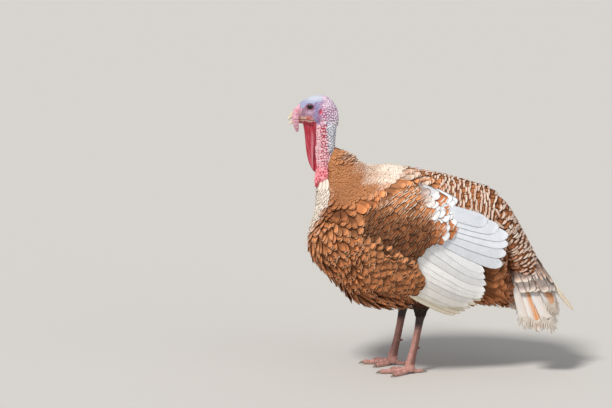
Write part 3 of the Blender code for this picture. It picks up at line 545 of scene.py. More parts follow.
def growBody():
    # the whole trunk's feathers, in rows from the neck to the tail
    roots = bodyRoots()
    p, turn = bodyChart(*roots.T), np.abs(roots[:, 1])
    (x, y, z), n = p.T, len(p)
    row, gap = bodyPitch(p)
    cape, throat, back = trunkZones(p)
    small = np.maximum(cape, throat)
    vent = ease(x, 60, 130) * (1 - back)
    groups = (1 - small) * (1 - back) * (1 - vent)
    squeeze = ease(roots[:, 0], 15.5, 17.5) * ease(turn, 1.4, 2.1)
    capeRear = small * ease(x, -150, -110) * ease(z, 520, 560)
    length = row * (3.15 + 0.35 * small - 0.2 * back - 1.0 * capeRear)
    length = length * dice.uniform(0.88, 1.12, n) * (1 - 0.4 * squeeze)
    flow = 0.22 * ripple(p, 150, 12) * (1 - small) * (1 - back) + 0.35 * np.sign(y) * throat
    tips = layAlong(bodyChart, roots, length,
                    flow + dice.normal(0, 0.13, n) * (1 - 0.5 * small) * (1 - 0.85 * back))
    tips[:, 0] = np.minimum(tips[:, 0], body["lastTip"])

    tanBand = bell((x + 291) * 0.716 - (z - 469) * 0.698, 0, 20) * (1 - ease(x, -255, -235))
    tanBand = tanBand * (1 - throat) * (1 - ease(z, 505, 525))
    valley = bell(x, -190, 34) * bell(z, 405, 52)
    shoulder = ease(z + 0.35 * x, 440, 480) * ease(x, -225, -180) * (1 - cape) * (1 - back)
    # painted shade: a darker rust strip with a darker fringe where the throat's front meets the cape, for the
    # shade of the fold between them
    shadedCollar = (1 - ease(x, -262, -245)) * ease(z, 470, 500) * (1 - throat) * (1 - cape)
    # the cream on the cape's upper rear, and on the front of the throat below, is partly the feathers' own
    # pale buff and partly painted sheen where light grazes them
    creamAndSheenShare = ease(x + 0.9 * (z - 560) + 18 * ripple(p, 60, 13), -215, -95)
    ground = layer(
        rust * 1.25, (darkRust * 1.2, (1 - ease(z, 205, 290)) * (1 - vent) * 0.6), (rust * 0.9, vent * 0.8),
        (cream * 0.95, throat), (layer(orangeTan * 0.86, (cream * 1.08, creamAndSheenShare)), cape),
        (orangeTan * 1.1, ease(ripple(p, 70, 14), 0.2, 1.0) * 0.6 * (1 - small) * (1 - vent)))
    ground = ground * (1 + 0.22 * groups * ripple(p, 55, 16) + 0.10 * groups * dice.normal(0, 1, n))[:, None]
    ground = layer(
        ground, (orangeTan * 1.2, tanBand * 0.85), (orangeTan * 1.35, valley * 0.7), (rust * 0.95, back),
        (orangeTan * 1.35, shoulder * dice.uniform(0.2, 1.0, n)),
        (cream, shoulder * (dice.random(n) < 0.25) * 0.6), (rust * 0.85, shadedCollar))
    fringe = layer(
        peach * 1.15, (cream, np.maximum(throat, back)),
        (cream, np.maximum(dice.random(n) * 0.35 * (1 - cape), shoulder * 0.8)),
        ((0.66, 0.46, 0.36), back * dice.uniform(0.3, 1.0, n)), (darkRust * 2.2, vent * 0.5),
        (orangeTan * 0.9, shadedCollar), (rust * 1.3, squeeze * 0.8))
    bandWide = (1.9 + 0.1 * back) * (1 - cape) * (1 - 0.45 * throat) * (1 - 0.8 * vent) + 0.01
    bandWide = bandWide * dice.uniform(0.5, 1.3, n) * (1 - 0.6 * np.maximum(tanBand, valley))
    marks = {"ground": ground, "fringe": fringe, "bandAt": 2.6 + 5.2 * back, "calm": small,
             "band": layer(nearBlack, (darkRust * 0.8, np.maximum(throat * 0.7, 0.3 * vent))),
             "bandWide": bandWide * (1 + 0.5 * back * ease(x, 80, 150)),
             "fringeWide": (1.5 + 4.4 * back + 0.3 * throat) * (1 - 0.8 * cape)}
    ruff = bell(x, -262, 26) * ease(z, 610, 640)
    high = 11.0 - 8.8 * cape - 6.5 * throat - 3.0 * back + 15.0 * ruff * dice.random(n) ** 2
    dent = bell(x, -205, 40) * bell(z, 365, 45)
    stir = dice.normal(0, 1, n) * (1 - small) * (1 - 0.75 * back) * (1 - 0.7 * dent)
    settings = {"roots": roots, "tips": tips, "half": gap * (0.76 + 0.61 * cape + 0.14 * back),
                "high": high * 0.35, "curl": high * 0.65 + 1.5 * stir, "roll": 0.14 * stir,
                "camber": 0.13 - 0.10 * cape - 0.07 * back, "square": 0.25 + back * 0.75}
    for key, chosen in (("front", x < -235), ("middle", (x >= -235) & (x < -40)), ("rear", x >= -40)):
        for form, shaped in (("scale", back < 0.5), ("blunt", back >= 0.5)):
            c = np.flatnonzero(chosen & shaped)
            if len(c):
                obj = growVanes(f"feathers_{key}_{form}", bodyChart, low=-3.5, shape=form,
                                thick=0.5 if key == "front" else 0.9,
                                **{k: s[c] for k, s in settings.items()})
                markPoints(obj, **{k: mark[c] for k, mark in marks.items()})
                placePiece(obj, plumage, "plumage")
                print("feathers", key, form, len(c))


growBody()
trunk = buildMesh("trunk_skin", *closeChart(bodyChart, body["skin"], 150, 120, body["skinDepth"]))
placePiece(trunk, under.material, "plumage", "torso", "neck_feathered")


wing = {
    "lift": 3.0,
    "flank": [(-260, 430, 190, 112), (-230, 415, 200, 128), (-180, 400, 208, 146), (-120, 398, 210, 158),
              (-60, 393, 205, 160), (0, 390, 192, 154), (60, 386, 182, 140), (120, 378, 176, 121),
              (180, 365, 176, 103), (240, 350, 180, 94)],
    "lobes": [(-82, 440, 152, 108, 15), (-72, 306, 50, 64, 8)],
    # count, root line, tip line, half width, low, high, lap
    "primaries": (6, ((-60, 330), (-84, 296), (-84, 262)), ((138, 226), (100, 194), (58, 172)),
                  14, -1.5, 0.0, 3),
    "secondaries": (9, ((-40, 470), (-104, 400), (-118, 312)), ((154, 306), (148, 244), (70, 206)),
                    29, 4, 4.5, 3),
    "tertials": (6, ((4, 508), (-8, 474), (-12, 440)), ((156, 462), (224, 398), (196, 322)),
                 29, 7, 8, 3),
    # tip lines of the rear and front rows
    "coverts": (((66, 506), (64, 436), (0, 410), (-60, 342)),
                ((-58, 556), (-122, 532), (-178, 498), (-226, 452))),
    "laps": (((-52, 356), (-40, 322), (-30, 286), (-52, 252)),
             ((-190, 430), (-205, 375), (-190, 312), (-150, 262)))}


def flankWidth(x, z):
    # width sqrt((q + sqrt(q^2 + 0.22^2)) / 2) with q = 1 - ((z - centre) / height)^2, 1.3 times as high below
    rows = np.array(wing["flank"], float)
    r = smoothRows(rows, np.interp(x, rows[:, 0], np.arange(len(rows))))
    high = np.where(z < r[..., 1], r[..., 2] * 1.3, r[..., 2])
    q = 1 - ((z - r[..., 1]) / high) ** 2
    return r[..., 3] * np.sqrt((q + np.sqrt(q * q + 0.22 ** 2)) / 2)


def wingChart(side, plump):
    # the folded wing's surface at (x, z): flank width + lift + low domes
    def chart(x, z):
        out = flankWidth(x, z) + wing["lift"]
        for cx, cz, rx, rz, thick in wing["lobes"]:
            q = np.clip(1 - ((x - cx) / rx) ** 2 - ((z - cz) / rz) ** 2, 0, 1)
            out = out + plump * thick * (1 - (1 - q) ** 2)
        return np.stack([x + 0 * z, side * out, z + 0 * x], -1)
    return chart


def alongLine(points, share):
    # a place on a smooth line through the points
    return smoothRows(points, share * (len(points) - 1))


def wingSet(name, side, plump, sets, shape, slotName, colours, jitter=1.6, ruffle=0.0, **form):
    # each set is one row of feathers, which overlap by lap mm over the row
    table = []
    for number, (count, rootLine, tipLine, wide, base, top, lap) in enumerate(sets):
        share = (np.arange(count) + 0.5 * (number % 2)) / max(count - 0.5, 1)
        wobble = dice.normal(0, 1, (count, 2))
        rise = lap * (1 - share)
        table.append(np.column_stack([
            alongLine(rootLine, share), alongLine(tipLine, share) + wobble * jitter,
            0 * share + number, share, wide * (1 + 0.04 * wobble[:, 0]), base + rise,
            top + rise + dice.normal(0, 0.12 if lap > 2 else 0.5, count),
            0 * share + min(lap * 0.006, 0.016)]))
    table = np.concatenate(table)
    roots, tips, rank, (half, low, high, roll) = table[:, :2], table[:, 2:4], table[:, 4:6], table[:, 6:].T
    n = len(roots)
    roll = roll + 0.10 * ruffle * dice.normal(0, 1, n)
    bend, curl = ruffle * dice.normal(0, 3, n), ruffle * dice.uniform(1, 6, n)
    obj = growVanes(name + ("_left" if side < 0 else "_right"), wingChart(side, plump), roots, tips,
                    half, low, high, shape, facing=-side, thick=0.7, roll=side * roll, bend=bend, curl=curl,
                    unwrap=spreadOut(rank), **form)
    paintVanes(obj, **colours(tips, rank))
    placePiece(obj, plumage, slotName)
    print("wing", obj.name, n)


def plainColours(ground, fringe, spread, fringeWide, lowest):
    # one colour, which turns into the colour lowest towards the set's last feather
    def colours(tips, rank):
        tone = 1 + spread * dice.normal(0, 1, (len(rank), 1))
        return {"ground": layer(ground, (lowest, rank[:, 1] ** 1.5)) * tone, "fringe": fringe * tone,
                "fringeWide": fringeWide, "bandWide": 0.01, "calm": 0.8}
    return colours


def covertColours(tips, rank):
    # rust with a dark bar inside a thin pale edge; the upper rear ones turn white between rust spots
    n = len(tips)
    rear = ease(tips[:, 0] + 0.25 * (tips[:, 1] - 450), -14, 30)
    upper = ease(tips[:, 1] + 0.25 * tips[:, 0], 440, 500)
    spot = dice.random(n) < 0.9 - 0.7 * ease(tips[:, 1], 452, 478)
    ground = layer(rust * 0.5 * dice.uniform(0.65, 1.35, (n, 1)),
                   (orangeTan * 1.2, upper * dice.uniform(0.3, 1.0, n)))
    ground = ground * (1 - 0.4 * ease(rank[:, 1], 0.5, 1.0))[:, None]
    return {"ground": layer(ground, (np.where(spot[:, None], rust * 1.2, white * 0.95), rear)),
            "fringe": layer(peach * 0.95, (cream, np.maximum(rear, upper * 0.9)), (white * 0.95, rear * 0.8)),
            "fringeWide": 1.5 + 2.0 * upper + 1.0 * rear, "bandWide": 2.6 * (1 - rear) + 0.01,
            "bandAt": 2.9 + 1.6 * upper, "calm": 0.5 * rear}


def lapColours(tips, rank):
    ground = rust * dice.uniform(0.72, 1.08, (len(tips), 1))
    return {"ground": layer(ground, (orangeTan * 1.3, (1 - rank[:, 1]) ** 2 * 0.85)), "fringe": peach * 1.05,
            "fringeWide": 1.5, "bandWide": 2.2}


def growWing(side):
    tag = "left" if side < 0 else "right"
    # the bed that the coverts stand in: a lens between the chart's surface and the flank below it
    out = np.concatenate([np.linspace(0.04, 1, 26), np.linspace(1, 0.04, 26)])[:, None]
    level = np.repeat([0.5, -9.0], 26)
    level[25] = -2.5
    turn = np.linspace(0, 2 * pi, 72, endpoint=False)
    x = -84 + 104 * out * np.cos(turn)
    z = 468 - 0.2 * (x + 84) + 72 * out * np.sin(turn)
    p, normal = directions(wingChart(side, 1.0), x, z, -side)[:2]
    bed = buildMesh("wing_bed_" + tag, *closeTube(p + normal * level[:, None, None]))
    placePiece(bed, under.material, "plumage", "wing_" + tag)
    for name, plump, shape, colours, form in (
            ("primaries", 0.0, "quill",
             (np.array((0.82, 0.75, 0.60)), np.array((0.50, 0.34, 0.15)), 0.05, 1.6,
              np.array((0.82, 0.75, 0.60))),
             {"across": 7, "camber": 0.06, "lean": 0.4}),
            ("secondaries", 0.15, "vane",
             (white * 1.05, white * 0.97, 0.015, 0.3, np.array((0.85, 0.81, 0.73))),
             {"across": 9, "camber": 0.042, "lean": 0.42, "jitter": 3.0}),
            # the tertials' grey-blue white, darker than the secondaries' white, is partly their own tint and
            # partly painted shade
            ("tertials", 0.3, "quill",
             (np.array((0.73, 0.755, 0.80)), np.array((0.66, 0.69, 0.75)), 0.015, 0.3,
              np.array((0.73, 0.755, 0.80))),
             {"across": 9, "camber": 0.042, "lean": 0.42, "jitter": 3.0})):
        wingSet(name, side, plump, [wing[name]], shape, "flight_feathers", plainColours(*colours), **form)
    rows = []
    first, last = np.array(wing["coverts"], float)
    for share in np.arange(14) / 13:
        tipLine = first + (last - first) * share
        rootLine = tipLine + np.array((-0.78, 0.62)) * (58 - 16 * share)
        rows.append((15, rootLine, tipLine, 17.0, 3.0 - 14.0 * share ** 3, 9.0 - 7.0 * share ** 3, 0.0))
    wingSet("coverts", side, 1.0, rows, "blunt", "plumage", covertColours, jitter=3.2, ruffle=0.35,
            camber=0.08, square=0.9)
    # flank feathers that lap over the front of the wing
    rows = []
    first, last = np.array(wing["laps"], float)
    for k in range(9):
        tipLine = first + (last - first) * k / 8
        rows.append((8, tipLine + np.array((-38, 20)) + dice.normal(0, 3, 2), tipLine, 15.5, 1.0, 8.0, 1.5))
    wingSet("flank_laps", side, 1.0, rows, "scale", "plumage", lapColours, jitter=4.0, ruffle=0.15)


for side in (-1, 1):
    growWing(side)


tail = {"tip": (205, 0, 495), "tilt": math.radians(75), "spread": math.radians(14), "count": 11, "fan": 104,
        "root": 168.0, "turns": (0, 20, 38, 55, 85, 118), "tips": (300, 305, 350, 392, 396, 360), "half": 27,
        "strands": 16, "covertStarts": np.arange(150, 215, 13.0), "covertCount": 13,
        "stray": ((300.0, 322.0), (412.0, 171.0))}


def tailChart(along, turn):
    # tip + along (cos(spread) axis + sin(spread) round(turn)): a slim cone that hangs from the rump
    tilt, spread = tail["tilt"], tail["spread"]
    axis = np.array((math.cos(tilt), 0, -math.sin(tilt)))
    back = np.array((math.sin(tilt), 0, math.cos(tilt)))
    fan = np.cos(turn)[..., None] * back + np.sin(turn)[..., None] * np.array((0, 1.0, 0))
    return np.array(tail["tip"]) + along[..., None] * (math.cos(spread) * axis + math.sin(spread) * fan)


def quillFinish():
    # cream with a buff middle, a dark blot before the pale tip, and barbs that slant off the shaft
    f = Finish("tail_quills")
    u, along, across, reach, tone, core = f.marks("sideways", "along", "across", "reach", "tone", "core")
    ground, middle = f.marks("ground", "band", out="Color")
    place = f.place()
    fine, broad = f.noise(place, 700, 2), f.noise(place, 28, 3)
    barbs = ((along - across.size() * 1.4) * 3.2 + tone * 40).wave()
    colour = f.tint(ground, 0.82 + 0.2 * broad + 0.12 * tone + barbs * 0.035)
    middleHalf = 1 - (u + 0.15).size().step(0.25, 0.95)
    buff = core * middleHalf * (1 - reach.step(0.86, 0.97)) * reach.step(0.1, 0.4)
    colour = f.mix(buff * (0.6 + 0.8 * broad), colour, middle)
    blot = 1 - (reach + 0.12 * (broad - 0.5) - 0.87).size().step(0.015, 0.05)
    blot = (1 - (u - 0.1).size().step(0.2, 0.75)) * blot * tone.step(0.15, 0.6)
    shaft = 1 - across.size().step(0.5, 1.3)
    colour = f.mix(shaft * 0.75, f.mix(blot, colour, (0.09, 0.04, 0.03)), (0.80, 0.72, 0.62))
    height = barbs * 0.5 + shaft * 2.5 + fine * 0.6
    return f.cover(Base_Color=colour, Roughness=0.55 + 0.2 * fine, Normal=f.bump(height, 0.0004, 0.6),
                   Sheen_Weight=0.12, Sheen_Roughness=0.5, Specular_IOR_Level=0.35)


def growTail(quills):
    n, per, half = tail["count"], tail["strands"], tail["half"]
    turns = np.radians(np.linspace(-tail["fan"], tail["fan"], n))
    outer = np.abs(np.degrees(turns))
    ends = np.interp(outer, tail["turns"], tail["tips"])
    rank = 1 - outer / tail["fan"]
    roots = np.stack([np.full(n, tail["root"]), turns * 0.96], -1)
    tips = np.stack([ends + dice.normal(0, 4, n), turns * 0.96 + dice.normal(0, 0.02, n)], -1)
    obj = growVanes("tail_quills", tailChart, roots, tips, half, 5 * rank - 2, 2 + 11 * rank, "quill",
                    camber=0.1, across=9, thick=1.2)
    tone = dice.uniform(0.94, 1.04, (n, 1))
    odd = np.arange(n) % 2
    markPoints(obj, ground=np.array((0.74, 0.70, 0.66)) * tone, band=(0.66, 0.27, 0.09),
               core=np.where(odd, 1.0, 0.15) * dice.uniform(0.8, 1.1, n))
    placePiece(obj, quills, "flight_feathers", "tail")
    # strands that fray the tips
    slots = np.tile(np.linspace(-1, 1, per), n)
    which = np.repeat(np.arange(n), per)
    reach = tips[which, 0]
    wide = slots * half / (math.sin(tail["spread"]) * reach)
    start = np.stack([reach - 34 - 16 * slots ** 2, turns[which] + wide * 0.62], -1)
    stop = np.stack([reach + 3 - 26 * slots ** 2 + dice.normal(0, 5, n * per),
                     turns[which] + wide * (0.95 + 0.2 * dice.random(n * per))], -1)
    height = (2 + 11 * rank)[which]
    obj = growVanes("tail_fray", tailChart, start, stop, 2.1, height + 0.2,
                    height + dice.normal(0.6, 1.2, n * per), "slim", across=3, thick=0.5)
    markPoints(obj, ground=(np.array((0.80, 0.72, 0.62)) * tone)[which], band=(0.62, 0.27, 0.10),
               core=np.where(odd, 0.8, 0.2)[which])
    placePiece(obj, quills, "flight_feathers")
    # coverts over the quills: barred rows, the last ones long and white
    table, count = [], tail["covertCount"]
    for number, start in enumerate(tail["covertStarts"]):
        late = 0.6 + 0.4 * number / (len(tail["covertStarts"]) - 1)
        fan = 104 - 16 * late
        turn = np.radians(np.linspace(-fan, fan, count) + (4 if number % 2 else -4))
        turn = turn + dice.normal(0, 0.02, count)
        stop = start + 46 + 22 * late ** 2 + dice.normal(0, 2.5, count) + (8 + 20 * late) * np.cos(turn)
        table.append(np.column_stack([
            0 * turn + start, turn, stop, turn, 0 * turn + 15.0 + 3 * late, 0 * turn + 9 * late,
            10 + 16 * (late - 0.6) + dice.normal(0, 1.0, count), 0 * turn + late]))
    table = np.concatenate(table)
    (half, low, high, late), n = table[:, 4:].T, len(table)
    obj = growVanes("tail_coverts", tailChart, table[:, :2], table[:, 2:4], half, low, high, "blunt",
                    camber=0.06, square=0.9, bend=dice.normal(0, 2.5, n))
    pale = ease(late + 0.15 * dice.normal(0, 1, n), 0.45, 0.95)
    ground = layer(rust, ((0.72, 0.67, 0.63), pale), (orangeTan * 1.2, dice.random(n) * 0.5))
    paintVanes(obj, ground, cream * 0.92, 6.5,
               dice.uniform(0.6, 2.2, n) * (1 - ease(late, 0.5, 0.8)) + 0.01, 7.5, darkRust * 0.35)
    placePiece(obj, plumage, "flight_feathers")
    # one loose feather that stands off behind the tail, in the plane of the bird
    plane = lambda x, z: np.stack([x, 2.0 + 0 * x, z], -1)
    root, tip = np.array(tail["stray"])[:, None]
    obj = growVanes("tail_stray", plane, root, tip, 7.5, 0, 0, "quill", camber=0.2, across=7, bend=5.0)
    paintVanes(obj, (0.78, 0.68, 0.55), cream, 1.5, 1.0, band=(0.10, 0.05, 0.03), calm=1.0)
    placePiece(obj, plumage, "flight_feathers")
    print("tail coverts", n)


growTail(quillFinish())


undertail = {"rows": [(180, 345, 205, 200, 60), (203, 331, 222.6, 193, 54), (223, 326, 238, 185, 49),
                      (244, 310, 250, 183, 38), (260, 280, 257, 198, 22)], "pitch": (9.0, 8.0),
                      "lastTip": 4.35}


def growUndertail():
    chart = ringChart(undertail["rows"])
    core = loftSurface(np.array(undertail["rows"]) + (0, -3, 0, 5, -5), 30, 40)
    placePiece(buildMesh("undertail_skin", *core), under.material, "plumage", "undertail")
    roots = rowRoots(chart, (0, 4), (-pi, pi), lambda p: undertail["pitch"], (80, 160))
    roots = roots + dice.normal(0, 0.03, roots.shape)
    n = len(roots)
    tips = layAlong(chart, roots, dice.uniform(24, 36, n), dice.normal(0, 0.25, n))
    tips[:, 0] = np.minimum(tips[:, 0], undertail["lastTip"])
    obj = growVanes("undertail_fluff", chart, roots, tips, 6.5, -3, dice.uniform(3, 9, n), "fluff",
                    curl=dice.normal(0, 1.5, n), bend=dice.normal(0, 4, n))
    ground = layer(rust * 1.15, (darkRust, dice.random(n) * 0.5),
                   (cream, (1 - ease(chart(*roots.T)[:, 2], 200, 228)) * 0.85))
    paintVanes(obj, ground, layer(ground, (cream, 0.55 + np.zeros(n))), 1.4, 0.3, band=darkRust)
    placePiece(obj, plumage, "undertail")
    print("undertail", n)


growUndertail()


head = {
    "grain": 1.0, "eye": (-353.0, 15.3, 780.0), "eyeRadius": 10.2, "lid": (8.2, 6.3), "ear": (-323.0, 766.0),
    "mouth": 741.6, "nostril": (-389.0, 757.0),
    "skull": [(-272, 752, -271, 738, 6), (-275, 768, -273, 724, 13.5), (-283, 786, -281, 714, 19),
              (-296, 801, -295, 711, 23.5), (-312, 809, -312, 714, 26), (-330, 811, -330, 718, 26.5),
              (-348, 808, -350, 723, 25), (-364, 801, -368, 727, 22), (-380, 790, -384, 729, 18),
              (-391, 780, -393, 730, 14.5), (-399, 771, -399, 731, 12)],
    "neck": [(-291, 548, -332.0, 545, 22), (-288, 575, -333.5, 570, 23), (-285, 610, -337.5, 600, 22.5),
             (-283, 650, -341, 642, 22), (-278, 712, -344, 684, 23), (-275, 734, -347, 716, 23.5),
             (-282, 756, -342, 746, 20)],
    "wattle": [(745, -371, -325, 7.5), (731, -374, -325, 7.5), (700, -369.5, -325, 6.4),
               (660, -366, -325, 6.0), (630, -361.5, -325, 6.2), (608, -355, -325, 6.4),
               (594, -348, -325, 6.0), (586, -342, -325, 3.5)],
    "snood": [(-370, -2, 778, 9), (-383, -8, 773, 11), (-391.5, -15, 763, 11), (-395, -19.5, 750, 10.2),
              (-395, -21, 737, 9.0), (-393, -20.5, 724, 7.2), (-391, -19.5, 713, 5.0),
              (-390, -19, 706.5, 2.4)],
    "lobe": [(-332, -6, 584, 5.5), (-333, -13, 572, 6.2), (-334, -16, 560, 5.4), (-335, -17, 549, 4.6),
             (-335, -17, 543, 2.2)],
    # count, widest angle, height and size of the bulbs in each ring
    "bulbs": ((14, 152, 570.0, 6.8), (12, 140, 580.5, 5.6), (7, 75, 591.0, 4.6)),
    "bill_upper": [(-396, 769.5, -396, 743.0, 12), (-399.4, 768, -399.4, 743.2, 11.3),
                   (-406, 763, -406, 742.3, 9.6), (-412, 754, -412, 740.3, 6.8),
                   (-416.5, 745, -416, 737.8, 3.9), (-418.4, 738.8, -417.8, 736.2, 1.3)],
    "bill_lower": [(-396, 741, -396, 731.5, 11), (-399.4, 740, -399.4, 731.2, 10.4),
                   (-405, 737.5, -404, 727.6, 8), (-410, 734, -410, 727, 5.4),
                   (-414, 731, -414, 728, 2.8), (-416, 729.8, -416, 728.8, 1)]}


def wattleSurface():
    # flat oval sections down the throat, y = half sin(turn) thinned along two grooves, with a slow ripple
    rows = smoothRows(head["wattle"], np.linspace(0, len(head["wattle"]) - 1, 170))
    z, back, front, half = rows.T[:, :, None]
    turn = np.linspace(0, 2 * pi, 130, endpoint=False)
    z = z + 0 * turn
    x = (back + front) / 2 + (back - front) / 2 * np.cos(turn)
    grooveA = bell(x + 354.5 - 0.02 * (z - 700), 0, 2.0) * ease(z, 655, 700)
    grooveB = bell(x + 339.5, 0, 2.2) * (1 - ease(z, 675, 700))
    thick = half * (1 - 0.62 * grooveA - 0.7 * grooveB)
    crease = 0.35 * np.sin(x * 1.9 + 0.7 * np.sin(z / 9)) * ease(z, 585, 620)
    y = np.sin(turn) * (thick + crease) + 1.6 * np.sin(z / 24 + x / 30) * ease(z, 745, 700)
    return closeTube(np.stack([x, y, z], -1))


def bulbs():
    # rings of soft bulbs round the foot of the bare neck, and a lobe that hangs in front
    angle, level, size = np.concatenate([
        [np.linspace(-wide, wide, count), np.full(count, z), np.full(count, r)]
        for count, wide, z, r in head["bulbs"]], 1)
    level, size = level + dice.normal(0, 1.6, 33), size * dice.uniform(0.8, 1.2, 33)
    parts = []
    for turn, z, r in zip(np.radians(angle), level, size):
        reach = 19.0 if z < 576 else 20.0
        parts.append(ballSurface((-312 - reach * math.cos(turn), 1.06 * reach * math.sin(turn), z), r, 16,
                                 (1, 1, dice.uniform(0.85, 1.3))))
    lobe = smoothRows(head["lobe"], np.linspace(0, 4, 40))
    return parts + [tubeSurface(lobe[:, :3], lobe[:, 3] * (1 + 0.10 * np.sin(np.linspace(0, 17, 40))), 24)]


def nearestPath(points, path):
    # distance to the closest of the path's samples, and that sample's share of the path
    gap = np.linalg.norm(points[:, None] - path[None], axis=-1)
    return gap.min(1), gap.argmin(1) / (len(path) - 1)


def nearestSeed(points, seeds):
    # index of and distance to the nearest seed, by |p|^2 - 2 p.s + |s|^2
    found, gap = [], []
    middle = seeds.mean(0)
    q = (seeds - middle).astype(np.float32)
    for piece in np.array_split((points - middle).astype(np.float32), max(1, len(points) // 4000)):
        d = (piece ** 2).sum(1)[:, None] - 2 * piece @ q.T + (q ** 2).sum(1)[None]
        i = d.argmin(1)
        found.append(i)
        gap.append(np.sqrt(np.maximum(d[np.arange(len(i)), i], 0)))
    return np.concatenate(found), np.concatenate(gap)


def evenSeeds(points, spacing):
    # bump centres spread evenly: each round moves a centre to the mean of the points that are nearest to it
    cell = np.floor(points / spacing).astype(np.int64)
    first = np.unique((cell[:, 0] * 4096 + cell[:, 1]) * 4096 + cell[:, 2], return_index=True)[1]
    seeds = points[dice.choice(first, int(len(first) * 0.62), replace=False)]
    for _ in range(4):
        near = nearestSeed(points, seeds)[0]
        count = np.bincount(near, minlength=len(seeds))[:, None]
        seeds = np.where(count > 0, sumBy(near, points, len(seeds)) / np.maximum(count, 1), seeds)
    return seeds


